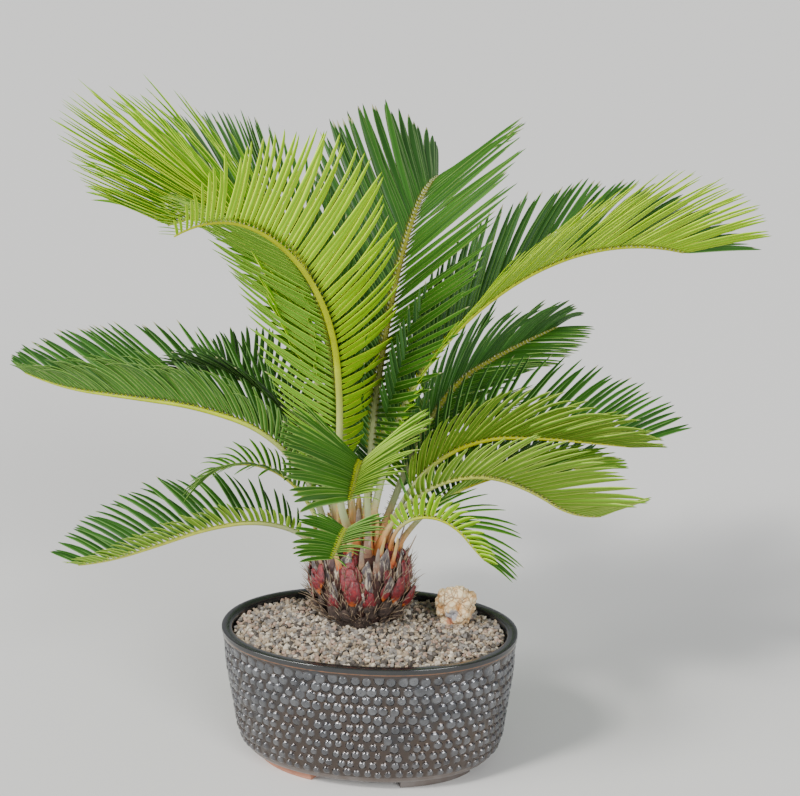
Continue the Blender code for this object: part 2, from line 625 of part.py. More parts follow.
def grow_fronds(collection, materials):
    """Lay every rachis, then the trunk under them, then leaflets that keep clear of all else."""
    rachises = [Rachis(frond) for frond in FRONDS]
    stalks = []
    for rachis in rachises:
        bm = rachis.tube("probe", 0.0, 1.0, sink=STALK_DEPTH, extra=LEAF_CLEAR)
        stalks.append(BVHTree.FromBMesh(bm))
        bm.free()
    trunk = make_trunk(collection, materials["trunk"], stalks)
    bm = bmesh.new()
    bm.from_mesh(trunk.data)
    trunk_tree = BVHTree.FromBMesh(bm)
    bm.free()

    nodes = []
    for rachis in rachises:
        frond = rachis.frond
        cuts = [(0.0, 1.0, "")]
        if frond.split:
            step = SPLIT_GAP / frond.length
            cuts = [(0.0, frond.split, "_inner"), (frond.split + step, 1.0, "_outer")]
        for start, end, ending in cuts:
            sink = stalk_sink(rachis, trunk_tree) if start == 0.0 else 0.0
            bm = rachis.tube(frond.name + ending, start, end, sink=sink)
            nodes.append({"rachis": rachis, "start": start, "end": end, "trees": [],
                          "name": frond.name + ending, "stalk": BVHTree.FromBMesh(bm),
                          "object": add_object(frond.name + ending, bm, collection,
                                               materials["young" if "tall" in frond.name else "old"]),
                          "pieces": new_collection(frond.name + ending + "_leaves")})
    solids = [trunk_tree]
    skipped = 0
    made = 0
    for node in nodes:
        rachis = node["rachis"]
        frond = rachis.frond
        margin = SPLIT_CLEAR / frond.length
        for index in range(frond.count):
            place = (index + 0.5) / frond.count
            share = frond.bare + (1 - frond.bare) * place
            if not node["start"] + margin < share < node["end"] - margin / 3:
                continue
            for side in (1, -1):
                for shrink in LEAF_SHRINKS:
                    test = rachis.leaflet(place, side, shrink, LEAF_CLEAR)
                    tree = BVHTree.FromBMesh(test)
                    lowest = min(v.co.z for v in test.verts)
                    test.free()
                    others = solids + [n["stalk"] for n in nodes if n is not node]
                    others += [t for n in nodes if n is not node for t in n["trees"]]
                    if lowest > LEAF_LOWEST and not any(tree.overlap(other) for other in others):
                        bm = rachis.leaflet(place, side, shrink)
                        node["trees"].append(BVHTree.FromBMesh(bm))
                        add_object("leaf", bm, node["pieces"])
                        made += 1
                        break
                else:
                    skipped += 1
    for node in nodes:
        join_pieces(node["object"], node["pieces"])
    print("leaflets made", made, "left out", skipped)
    return trunk, [node["object"] for node in nodes]


def centre_on_footprint(collections):
    """Hang every object on an empty that stands off from the origin by the footprint's middle."""
    carrier = bpy.data.objects.new("plant_carrier", None)
    for collection in collections:
        for obj in collection.objects:
            obj.parent = carrier
    collections[0].objects.link(carrier)
    carrier.location = (-FOOTPRINT_X, -FOOTPRINT_Y, 0.0)


def main():
    """Build the whole plant."""
    clear_scene()
    collection = new_collection("sago_palm_bonsai")
    cutters = new_collection("cutters")
    materials = {
        "pot": new_material("glazed_pot", (0.10, 0.10, 0.11), 0.18, 0.0, 0.6),
        "grit": new_material("grit", (0.50, 0.45, 0.38), 0.9),
        "stone": new_material("accent_stone", (0.80, 0.66, 0.40), 0.8),
        "trunk": new_material("trunk", (0.20, 0.10, 0.08), 0.8),
        "young": new_material("young_leaf", (0.28, 0.50, 0.05), 0.45),
        "old": new_material("old_leaf", (0.05, 0.22, 0.05), 0.40),
    }
    make_pot(collection, cutters, materials["pot"])
    make_grit(collection, materials["grit"])
    make_stone(collection, materials["stone"])
    grow_fronds(collection, materials)
    centre_on_footprint([collection, cutters])


main()
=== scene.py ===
"""Looks of a sago palm bonsai in its oval hobnail-glazed pot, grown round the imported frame.

Metres, +Z up. Every piece takes its place from the frame: the pot's box gives the home point from which
the trunk, the fronds, the grit and the stone are measured, as the solids' source measures them.
"""
from __future__ import annotations

import json
import logging
import math
from dataclasses import dataclass
from enum import Enum

import bmesh
import bpy
import numpy as np
from mathutils import Matrix, Vector, noise


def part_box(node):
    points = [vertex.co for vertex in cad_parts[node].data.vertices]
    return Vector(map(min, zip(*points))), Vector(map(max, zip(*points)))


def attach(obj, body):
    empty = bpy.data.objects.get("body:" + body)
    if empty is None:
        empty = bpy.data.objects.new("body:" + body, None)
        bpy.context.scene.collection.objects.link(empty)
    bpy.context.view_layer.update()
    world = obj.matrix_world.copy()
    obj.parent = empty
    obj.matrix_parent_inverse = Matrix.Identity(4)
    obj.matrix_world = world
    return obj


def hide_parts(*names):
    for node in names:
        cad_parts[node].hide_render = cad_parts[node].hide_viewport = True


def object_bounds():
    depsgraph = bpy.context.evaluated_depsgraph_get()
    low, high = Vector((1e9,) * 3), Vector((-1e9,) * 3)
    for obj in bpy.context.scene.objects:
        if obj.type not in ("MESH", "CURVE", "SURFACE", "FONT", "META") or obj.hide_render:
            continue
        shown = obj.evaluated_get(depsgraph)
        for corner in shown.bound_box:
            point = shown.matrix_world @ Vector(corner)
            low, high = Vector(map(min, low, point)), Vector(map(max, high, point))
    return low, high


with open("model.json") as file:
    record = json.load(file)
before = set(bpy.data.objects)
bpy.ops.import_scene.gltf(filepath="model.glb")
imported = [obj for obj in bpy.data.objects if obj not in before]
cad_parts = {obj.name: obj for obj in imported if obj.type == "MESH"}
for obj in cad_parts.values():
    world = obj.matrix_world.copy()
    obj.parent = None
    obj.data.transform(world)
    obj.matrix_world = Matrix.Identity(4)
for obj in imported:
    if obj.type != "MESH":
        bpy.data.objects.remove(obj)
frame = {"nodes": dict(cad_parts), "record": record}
CAD_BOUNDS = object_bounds()

LOG = logging.getLogger("sago_palm")
BODY = "root"
GOLDEN_TURN = math.radians(137.5)

Colour = tuple[float, float, float]
Socket = bpy.types.NodeSocket


def home_point() -> Vector:
    """The middle of the pot on the plane that its feet stand on."""
    low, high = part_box("pot")
    return Vector(((low[0] + high[0]) / 2, (low[1] + high[1]) / 2, low[2]))


HOME = home_point()


class NodeTree:
    """A node tree under construction, with short calls to add nodes and wires."""

    def __init__(self, tree: bpy.types.NodeTree) -> None:
        """Start from an existing tree, emptied."""
        self.tree = tree
        tree.nodes.clear()

    def node(self, kind: str, inputs: dict | None = None, **settings: object) -> bpy.types.Node:
        """Add a node.

        Args:
            kind: The node's type name.
            inputs: Values or sockets for its inputs, by name or index.
            settings: The node's own settings.

        Returns:
            The new node.
        """
        made = self.tree.nodes.new(kind)
        for key, value in settings.items():
            setattr(made, key, value)
        for key, value in (inputs or {}).items():
            self.feed(made.inputs[key], value)
        return made

    def feed(self, target: Socket, value: object) -> None:
        """Wire a socket to an input, or set the input to a value."""
        if isinstance(value, Socket):
            self.tree.links.new(value, target)
        else:
            target.default_value = value

    def math(self, operation: str, *values: object) -> Socket:
        """The result of a Math node."""
        return self.node("ShaderNodeMath", dict(enumerate(values)), operation=operation).outputs[0]

    def ramp(self, value: Socket, start: object, end: object, low: float = 0.0, high: float = 1.0) -> Socket:
        """A value taken from one range to another, and held there."""
        inputs = {"Value": value, "From Min": start, "From Max": end, "To Min": low, "To Max": high}
        return self.node("ShaderNodeMapRange", inputs).outputs["Result"]

    def blend(self, share: object, first: object, second: object) -> Socket:
        """Two colours mixed by a share.

        Args:
            share: 0 for the first colour, 1 for the second.
            first: A colour or a socket.
            second: A colour or a socket.

        Returns:
            The mixed colour.
        """
        made = self.node("ShaderNodeMix", {"Factor": share}, data_type="RGBA")
        for name, value in (("A", first), ("B", second)):
            self.feed(next(s for s in made.inputs if s.name == name and s.type == "RGBA"), value)
        return next(s for s in made.outputs if s.type == "RGBA")

    def attribute(self, name: str) -> Socket:
        """A number stored on the mesh, for a material."""
        return self.node("ShaderNodeAttribute", attribute_name=name).outputs["Fac"]

    def named(self, name: str, kind: str) -> Socket:
        """A number or vector stored on the geometry, for a Geometry Nodes tree."""
        made = self.node("GeometryNodeInputNamedAttribute", {"Name": name}, data_type=kind)
        return next(s for s in made.outputs if s.enabled and s.name == "Attribute")

    def place(self) -> Socket:
        """The Object coordinates, which are the frame's own."""
        return self.node("ShaderNodeTexCoord").outputs["Object"]


def new_group(name: str, kind: str, inputs: dict[str, tuple], outputs: dict[str, str]
              ) -> tuple[NodeTree, bpy.types.NodeOutputs]:
    """Start a group with named sockets.

    Args:
        name: The group's name.
        kind: Its tree type.
        inputs: Socket type and default by name.
        outputs: Socket type by name.

    Returns:
        The tree to build in and the group's given values.
    """
    tree = bpy.data.node_groups.new(name, kind)
    for label, (socket_kind, value) in inputs.items():
        socket = tree.interface.new_socket(label, in_out="INPUT", socket_type=socket_kind)
        if value is not None:
            socket.default_value = value
    for label, socket_kind in outputs.items():
        tree.interface.new_socket(label, in_out="OUTPUT", socket_type=socket_kind)
    work = NodeTree(tree)
    return work, work.node("NodeGroupInput").outputs


FLOAT, COLOUR = "NodeSocketFloat", "NodeSocketColor"
WHITE = (1.0, 1.0, 1.0, 1.0)


class SharedEffects:
    """Shader groups that several finishes use, each built once."""

    def __init__(self) -> None:
        """Build the groups."""
        self.mottle = self.build_mottle()
        self.grain = self.build_grain()
        self.streaks = self.build_streaks()
        self.leaf = self.build_leaf()

    def build_mottle(self) -> bpy.types.NodeTree:
        """Two colours mixed in soft patches, with the mask that mixes them."""
        work, given = new_group("mottle", "ShaderNodeTree",
                                {"Scale": (FLOAT, 60.0), "Balance": (FLOAT, 0.5), "Sharpness": (FLOAT, 0.2),
                                 "First": (COLOUR, WHITE), "Second": (COLOUR, WHITE)},
                                {"Color": COLOUR, "Mask": FLOAT})
        cloud = work.node("ShaderNodeTexNoise", {"Vector": work.place(), "Scale": given["Scale"],
                                                 "Detail": 5.0, "Roughness": 0.6})
        low = work.math("SUBTRACT", given["Balance"], given["Sharpness"])
        high = work.math("ADD", given["Balance"], given["Sharpness"])
        mask = work.ramp(cloud.outputs["Fac"], low, high)
        mixed = work.blend(mask, given["First"], given["Second"])
        work.node("NodeGroupOutput", {"Color": mixed, "Mask": mask})
        return work.tree

    def build_grain(self) -> bpy.types.NodeTree:
        """A fine bump for the Normal input."""
        work, given = new_group("fine_grain", "ShaderNodeTree",
                                {"Scale": (FLOAT, 400.0), "Strength": (FLOAT, 0.3),
                                 "Distance": (FLOAT, 0.001)}, {"Normal": "NodeSocketVector"})
        cloud = work.node("ShaderNodeTexNoise", {"Vector": work.place(), "Scale": given["Scale"],
                                                 "Detail": 4.0, "Roughness": 0.65})
        bump = work.node("ShaderNodeBump", {"Height": cloud.outputs["Fac"], "Strength": given["Strength"],
                                            "Distance": given["Distance"]})
        work.node("NodeGroupOutput", {"Normal": bump.outputs["Normal"]})
        return work.tree

    def build_streaks(self) -> bpy.types.NodeTree:
        """Thin upright streaks of a second colour, as on dry papery scales."""
        work, given = new_group("streaks", "ShaderNodeTree",
                                {"Scale": (FLOAT, 300.0), "Amount": (FLOAT, 0.45),
                                 "Color": (COLOUR, WHITE), "Streak": (COLOUR, WHITE)}, {"Color": COLOUR})
        flat = work.node("ShaderNodeVectorMath", {0: work.place(), 1: (1.0, 1.0, 0.12)}, operation="MULTIPLY")
        cloud = work.node("ShaderNodeTexNoise", {"Vector": flat.outputs["Vector"], "Scale": given["Scale"],
                                                 "Detail": 3.0, "Roughness": 0.7})
        start = work.math("SUBTRACT", 1.0, given["Amount"])
        end = work.math("ADD", start, 0.10)
        mask = work.ramp(cloud.outputs["Fac"], start, end)
        work.node("NodeGroupOutput", {"Color": work.blend(mask, given["Color"], given["Streak"])})
        return work.tree

    def build_leaf(self) -> bpy.types.NodeTree:
        """A leaflet's colour: each its own tint, pale margins, a darker midline, a dark foot (partly painted shade) and
        some dry tips.

        It reads the attributes tint, edge, under, reach and dry of the leaflets.
        """
        work, given = new_group("leaf_paint", "ShaderNodeTree",
                                {"Upper": (COLOUR, WHITE), "Deep": (COLOUR, WHITE), "Under": (COLOUR, WHITE),
                                 "Margin": (COLOUR, WHITE), "Foot": (COLOUR, WHITE), "Tip": (COLOUR, WHITE),
                                 "Dry": (FLOAT, 0.1)}, {"Color": COLOUR, "Roughness": FLOAT})
        cloud = work.node("ShaderNodeTexNoise", {"Vector": work.place(), "Scale": 25.0, "Detail": 3.0})
        patch = work.math("MULTIPLY_ADD", cloud.outputs["Fac"], 0.9, -0.45)
        shade = work.ramp(work.math("ADD", work.attribute("tint"), patch), 0.1, 0.9)
        colour = work.blend(shade, given["Upper"], given["Deep"])
        under = work.attribute("under")
        colour = work.blend(under, colour, given["Under"])
        edge = work.attribute("edge")
        colour = work.blend(work.ramp(edge, 0.30, 0.60, 0.0, 1.0), colour, given["Margin"])
        colour = work.blend(work.ramp(edge, -0.35, -0.95, 0.0, 0.55), colour, given["Deep"])
        reach = work.attribute("reach")
        # Dark foot at each leaflet's root: partly the joint's own colour, partly painted shade where it meets the
        # rachis.
        colour = work.blend(work.ramp(reach, 0.07, 0.015), colour, given["Foot"])
        dry = work.math("LESS_THAN", work.attribute("dry"), given["Dry"])
        end = work.math("MULTIPLY", dry, work.ramp(reach, 0.945, 0.985))
        colour = work.blend(end, colour, given["Tip"])
        work.node("NodeGroupOutput", {"Color": colour, "Roughness": work.ramp(under, 0.0, 1.0, 0.38, 0.60)})
        return work.tree


EFFECTS = SharedEffects()


def rgba(colour: Colour) -> tuple[float, float, float, float]:
    """A colour with full alpha."""
    return (*colour, 1.0)


@dataclass(frozen=True)
class Finish:
    """A mottled surface with a fine grain."""

    name: str
    first: Colour
    second: Colour
    roughness: float
    mottle: float = 60.0
    balance: float = 0.5
    sharpness: float = 0.2
    metallic: float = 0.0
    coat: float = 0.0
    specular: float = 0.5
    grain: float = 400.0
    grain_strength: float = 0.3
    grain_depth: float = 0.0005

    def group(self, work: NodeTree, tree: bpy.types.NodeTree, **values: object) -> bpy.types.NodeOutputs:
        """Place a shared effect with its own values.

        Args:
            work: The material's tree.
            tree: The effect.
            values: Its inputs by name.

        Returns:
            The effect's outputs.
        """
        made = work.node("ShaderNodeGroup", node_tree=tree)
        for key, value in values.items():
            work.feed(made.inputs[key], rgba(value) if isinstance(value, tuple) else value)
        return made.outputs

    def patches(self, work: NodeTree, first: Colour, second: Colour, scale: float) -> Socket:
        """Two colours in the finish's patches."""
        return self.group(work, EFFECTS.mottle, Scale=scale, Balance=self.balance, Sharpness=self.sharpness,
                          First=first, Second=second)["Color"]

    def paint(self, work: NodeTree) -> dict[str, Socket]:
        """The shader inputs that change over the surface."""
        return {"Base Color": self.patches(work, self.first, self.second, self.mottle)}

    def build(self) -> bpy.types.Material:
        """Make the material, or find it if it is there."""
        known = bpy.data.materials.get(self.name)
        if known:
            return known
        material = bpy.data.materials.new(self.name)
        material.use_nodes = True
        work = NodeTree(material.node_tree)
        surface = work.node("ShaderNodeBsdfPrincipled",
                            {"Roughness": self.roughness, "Metallic": self.metallic,
                             "Coat Weight": self.coat, "Coat Roughness": 0.08,
                             "Specular IOR Level": self.specular})
        grain = self.group(work, EFFECTS.grain, Scale=self.grain, Strength=self.grain_strength,
                           Distance=self.grain_depth)
        work.feed(surface.inputs["Normal"], grain["Normal"])
        for name, socket in self.paint(work).items():
            work.feed(surface.inputs[name], socket)
        work.node("ShaderNodeOutputMaterial", {"Surface": surface.outputs["BSDF"]})
        return material


@dataclass(frozen=True)
class ReachFinish(Finish):
    """A finish that changes colour along each scale or stalk, by one of its attributes."""

    attribute: str = "reach"
    far_first: Colour = (0.2, 0.2, 0.2)
    far_second: Colour = (0.1, 0.1, 0.1)
    start: float = 0.3
    end: float = 0.7
    streak: Colour | None = None
    streaks: float = 0.42
    rim: Colour | None = None

    def paint(self, work: NodeTree) -> dict[str, Socket]:
        """Blend from the near colours to the far ones, with streaks over both."""
        near = self.patches(work, self.first, self.second, self.mottle)
        far = self.patches(work, self.far_first, self.far_second, self.mottle * 1.7)
        cloud = work.node("ShaderNodeTexNoise", {"Vector": work.place(), "Scale": self.mottle * 2.0})
        wobble = work.math("MULTIPLY_ADD", cloud.outputs["Fac"], 0.5, -0.25)
        share = work.ramp(work.math("ADD", work.attribute(self.attribute), wobble), self.start, self.end)
        colour = work.blend(share, near, far)
        if self.streak:
            colour = self.group(work, EFFECTS.streaks, Amount=self.streaks, Color=colour,
                                Streak=self.streak)["Color"]
        if self.rim:
            ragged = work.math("ADD", work.attribute("edge"), wobble)
            colour = work.blend(work.ramp(ragged, 0.60, 0.95, 0.0, 0.8), colour, rgba(self.rim))
        return {"Base Color": colour}


@dataclass(frozen=True)
class HobnailGlaze(ReachFinish):
    """Gunmetal glaze on the hobnails, brown between them and low on the wall, partly as painted reflection."""

    attribute: str = "dome"
    low: float = 0.02
    high: float = 0.12

    def paint(self, work: NodeTree) -> dict[str, Socket]:
        """Let the brown, partly painted reflection, spread over the lower wall, and vary the gloss."""
        painted = super().paint(work)
        split = work.node("ShaderNodeSeparateXYZ", {"Vector": work.place()})
        lowness = work.ramp(split.outputs["Z"], self.high, self.low, 0.0, 0.35)
        cloud = work.node("ShaderNodeTexNoise", {"Vector": work.place(), "Scale": 35.0, "Detail": 4.0})
        # Brown patches between the hobnails, more of them low on the wall: partly glaze colour, partly painted
        # reflection of a warm surface below.
        reflected_brown_patches = work.ramp(work.math("ADD", cloud.outputs["Fac"], lowness), 0.60, 0.82, 0.0, 0.60)
        bare = work.math("SUBTRACT", 1.0, work.attribute("dome"))
        brown = work.math("MULTIPLY", reflected_brown_patches, bare)
        painted["Base Color"] = work.blend(brown, painted["Base Color"], rgba(self.first))
        painted["Roughness"] = work.ramp(cloud.outputs["Fac"], 0.3, 0.7, 0.08, 0.20)
        return painted


@dataclass(frozen=True)
class StalkFinish(Finish):
    """A frond's rachis: orange where it leaves the crown, pale on its stalk, then its own green."""

    foot: Colour = (0.62, 0.22, 0.06)
    stalk: Colour = (0.42, 0.47, 0.24)

    def paint(self, work: NodeTree) -> dict[str, Socket]:
        """Blend the three colours along the stalk."""
        reach = work.attribute("reach")
        green = self.patches(work, self.first, self.second, self.mottle)
        stalk = self.patches(work, self.stalk, tuple(0.8 * c for c in self.stalk), self.mottle)
        colour = work.blend(work.ramp(reach, 0.16, 0.42), stalk, green)
        colour = work.blend(work.ramp(work.attribute("crown"), 0.35, 1.0), colour, rgba(self.foot))
        return {"Base Color": colour}


@dataclass(frozen=True)
class LeafFinish(Finish):
    """The leaflets of one tone."""

    under: Colour = (0.2, 0.2, 0.2)
    margin: Colour = (0.2, 0.2, 0.2)
    dry: float = 0.1

    def paint(self, work: NodeTree) -> dict[str, Socket]:
        """Take colour and gloss from the shared leaf effect."""
        # The foot colour is partly the joint's own colour, partly painted shade at the leaflet's root.
        leaf = self.group(work, EFFECTS.leaf, Upper=self.first, Deep=self.second, Under=self.under,
                          Margin=self.margin, Foot=(0.060, 0.060, 0.006), Tip=(0.58, 0.55, 0.30), Dry=self.dry)
        return {"Base Color": leaf["Color"], "Roughness": leaf["Roughness"]}


# Near colours lie between the hobnails: brown and dark grey, partly glaze colour and partly painted reflection and
# shade. The far colours are the lighter gunmetal on the hobnails.
GLAZE_METAL = HobnailGlaze("hobnail_glaze", (0.078, 0.054, 0.040), (0.042, 0.042, 0.046), 0.20, mottle=28.0,
                           metallic=0.85, coat=0.6, grain=190.0, grain_strength=0.60, grain_depth=0.0012,
                           far_first=(0.210, 0.215, 0.228), far_second=(0.060, 0.062, 0.070), start=0.05,
                           end=0.55)
GLAZE_BLACK = Finish("lip_glaze", (0.010, 0.011, 0.012), (0.020, 0.020, 0.020), 0.16, mottle=40.0,
                     coat=0.5, grain=90.0, grain_strength=0.15)
GLAZE_BREAK = Finish("lip_edge_glaze", (0.20, 0.085, 0.035), (0.06, 0.035, 0.025), 0.25, mottle=150.0,
                     coat=0.4)
GLAZE_BROWN = Finish("foot_glaze", (0.105, 0.078, 0.062), (0.17, 0.15, 0.14), 0.32, mottle=50.0,
                     metallic=0.4, coat=0.2, grain=220.0)
BARE_CLAY = Finish("bare_clay", (0.42, 0.20, 0.13), (0.32, 0.14, 0.09), 0.85, mottle=70.0, grain=700.0)
# Near black: painted shade in the gaps between the grains.
GRIT_BED_SHADE = Finish("grit_bed", (0.030, 0.024, 0.020), (0.012, 0.010, 0.009), 0.95, mottle=300.0,
                  grain=900.0)
TRUNK_CORE = Finish("caudex_core", (0.035, 0.020, 0.018), (0.085, 0.030, 0.022), 0.9, mottle=120.0,
                    grain=300.0, grain_strength=0.8, grain_depth=0.002)
RED_BASE = ReachFinish("red_leaf_base", (0.70, 0.21, 0.025), (0.42, 0.06, 0.020), 0.42, mottle=190.0,
                       grain=350.0, grain_strength=0.8, grain_depth=0.0015,
                       far_first=(0.27, 0.018, 0.024), far_second=(0.050, 0.012, 0.016), start=0.10,
                       end=0.30, streak=(0.20, 0.14, 0.13), streaks=0.40, rim=(0.14, 0.08, 0.065))
GREY_SCALE = ReachFinish("papery_scale", (0.13, 0.065, 0.060), (0.055, 0.036, 0.038), 0.70, mottle=80.0,
                         grain=350.0, grain_strength=0.7, grain_depth=0.0012,
                         far_first=(0.150, 0.125, 0.128), far_second=(0.045, 0.034, 0.038), start=0.25,
                         end=0.55, streak=(0.54, 0.46, 0.35), streaks=0.48,
                         rim=(0.40, 0.32, 0.26))
OLD_BASE = Finish("worn_leaf_base", (0.085, 0.055, 0.042), (0.028, 0.018, 0.015), 0.95, mottle=260.0,
                  sharpness=0.12, grain=500.0, grain_strength=1.0, grain_depth=0.002)
CUT_STALK = ReachFinish("cut_stalk", (0.50, 0.065, 0.030), (0.62, 0.16, 0.045), 0.5, mottle=60.0,
                        grain=300.0, grain_strength=0.3, far_first=(0.66, 0.36, 0.10),
                        far_second=(0.42, 0.36, 0.16), start=0.20, end=0.62, streak=(0.70, 0.55, 0.34),
                        streaks=0.36)
PAPER_SHEATH = ReachFinish("paper_sheath", (0.40, 0.24, 0.14), (0.24, 0.12, 0.08), 0.8, mottle=90.0,
                           grain=500.0, grain_strength=0.5, far_first=(0.34, 0.27, 0.20),
                           far_second=(0.17, 0.12, 0.10), streak=(0.62, 0.52, 0.38))
FIBRE = Finish("fibre", (0.50, 0.40, 0.27), (0.22, 0.13, 0.08), 0.8)


@dataclass(frozen=True)
class LeafColours:
    """The colours of a tone: leaflet above (two tints), leaflet below, margin, rachis."""

    upper: Colour
    deep: Colour
    under: Colour
    margin: Colour
    rachis: Colour
    dry: float = 0.05


class LeafTone(Enum):
    """How green a row of leaflets is: partly its own colour, partly painted light and shade, lighter tones for lit
    rows, DEEP and SHADE for rows in shade.
    """

    LIME = LeafColours((0.22, 0.48, 0.0), (0.10, 0.30, 0.0), (0.25, 0.47, 0.0), (0.74, 0.95, 0.04),
                       (0.46, 0.52, 0.0), 0.10)
    SPRING = LeafColours((0.17, 0.42, 0.0), (0.08, 0.26, 0.0), (0.22, 0.45, 0.004), (0.66, 0.86, 0.08),
                         (0.44, 0.52, 0.0), 0.15)
    FRESH = LeafColours((0.090, 0.27, 0.004), (0.036, 0.15, 0.003), (0.12, 0.29, 0.008), (0.48, 0.70, 0.08),
                        (0.40, 0.47, 0.01), 0.30)
    MOSS = LeafColours((0.052, 0.175, 0.010), (0.024, 0.100, 0.006), (0.060, 0.18, 0.014),
                       (0.30, 0.48, 0.10), (0.36, 0.40, 0.01), 0.30)
    OLIVE = LeafColours((0.090, 0.21, 0.006), (0.036, 0.11, 0.004), (0.11, 0.22, 0.010), (0.46, 0.60, 0.08),
                        (0.46, 0.48, 0.0), 0.25)
    PALE = LeafColours((0.15, 0.33, 0.012), (0.07, 0.19, 0.006), (0.18, 0.34, 0.02), (0.56, 0.74, 0.13),
                       (0.52, 0.56, 0.07), 0.15)
    DEEP = LeafColours((0.034, 0.125, 0.012), (0.015, 0.066, 0.006), (0.040, 0.125, 0.012),
                       (0.17, 0.33, 0.08), (0.24, 0.25, 0.02), 0.45)
    SHADE = LeafColours((0.028, 0.095, 0.010), (0.014, 0.052, 0.006), (0.034, 0.095, 0.012),
                        (0.10, 0.20, 0.05), (0.16, 0.22, 0.02), 0.20)

    def leaf(self) -> LeafFinish:
        """The leaflets' finish."""
        tone = self.value
        return LeafFinish(f"leaf_{self.name.lower()}", tone.upper, tone.deep, 0.4, specular=0.22, grain=600.0,
                          grain_strength=0.15, under=tone.under, margin=tone.margin, dry=tone.dry)

    def rachis(self) -> StalkFinish:
        """The rachis's finish."""
        first = self.value.rachis
        return StalkFinish(f"rachis_{self.name.lower()}", first, tuple(0.75 * c for c in first), 0.42,
                           mottle=40.0, specular=0.2, grain=500.0, grain_strength=0.15)


class GrainTone(Enum):
    """The tones that the grit is mixed from, with each one's share of the grains."""

    TAN = ((0.47, 0.37, 0.265), (0.26, 0.20, 0.14), 0.32)
    GREY = ((0.30, 0.27, 0.24), (0.15, 0.135, 0.125), 0.24)
    PALE = ((0.66, 0.58, 0.47), (0.44, 0.38, 0.30), 0.20)
    ROSE = ((0.47, 0.33, 0.25), (0.28, 0.19, 0.15), 0.10)
    DARK = ((0.120, 0.100, 0.085), (0.050, 0.042, 0.036), 0.14)

    def finish(self) -> Finish:
        """The tone's dusty stone."""
        first, second, _ = self.value
        return Finish(f"grit_{self.name.lower()}", first, second, 0.9, mottle=220.0, grain=900.0,
                      grain_strength=0.5)


def new_object(name: str, mesh: bpy.types.Mesh) -> bpy.types.Object:
    """Put a mesh in the scene as a piece at the origin."""
    piece = bpy.data.objects.new(name, mesh)
    bpy.context.scene.collection.objects.link(piece)
    return piece


def mesh_object(name: str, points: np.ndarray, faces: list, smooth: bool = True) -> bpy.types.Object:
    """Make a piece from points and faces worked out by a rule.

    Args:
        name: The piece's name.
        points: Its corners.
        faces: Corner numbers of each face.
        smooth: Whether its faces are shaded smooth.

    Returns:
        The piece.
    """
    mesh = bpy.data.meshes.new(name)
    mesh.from_pydata(np.asarray(points, float).tolist(), [], faces)
    mesh.polygons.foreach_set("use_smooth", [smooth] * len(mesh.polygons))
    mesh.update()
    return new_object(name, mesh)


def point_outwards(piece: bpy.types.Object) -> None:
    """Turn every face of a closed mesh outwards."""
    bm = bmesh.new()
    bm.from_mesh(piece.data)
    bmesh.ops.recalc_face_normals(bm, faces=bm.faces)
    if bm.calc_volume(signed=True) < 0:
        bmesh.ops.reverse_faces(bm, faces=bm.faces)
    bm.to_mesh(piece.data)
    bm.free()


def set_attribute(piece: bpy.types.Object, name: str, values: np.ndarray, domain: str = "POINT") -> None:
    """Store numbers or vectors on a piece's points or faces."""
    values = np.asarray(values, np.float32)
    kind, key = ("FLOAT_VECTOR", "vector") if values.ndim == 2 else ("FLOAT", "value")
    layer = piece.data.attributes.new(name, kind, domain)
    layer.data.foreach_set(key, values.ravel())


def unit(vectors: np.ndarray) -> np.ndarray:
    """Vectors brought to length 1."""
    return vectors / np.linalg.norm(vectors, axis=-1, keepdims=True)


def ring_faces(rows: int, columns: int, start: int = 0) -> list[tuple[int, int, int, int]]:
    """Quads between rings that follow one another."""
    faces = []
    for r in range(rows - 1):
        for c in range(columns):
            a = start + r * columns + c
            b = start + r * columns + (c + 1) % columns
            faces.append((a, b, b + columns, a + columns))
    return faces


def tube_faces(rows: int, columns: int, start: int = 0) -> list[tuple]:
    """The quads between rings, and a cap at each end."""
    last = start + (rows - 1) * columns
    caps = [tuple(range(start, start + columns))[::-1], tuple(range(last, last + columns))]
    return ring_faces(rows, columns, start) + caps


def finish_piece(piece: bpy.types.Object, slot: str, *nodes: str) -> None:
    """Tie a piece to the body and hide the nodes it stands for.

    Args:
        piece: The finished piece.
        slot: The record's material slot; not used.
        nodes: Nodes of the frame that the piece replaces.
    """
    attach(piece, BODY)
    if nodes:
        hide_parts(*nodes)
    LOG.info("%s: %d faces", piece.name, len(piece.data.polygons))


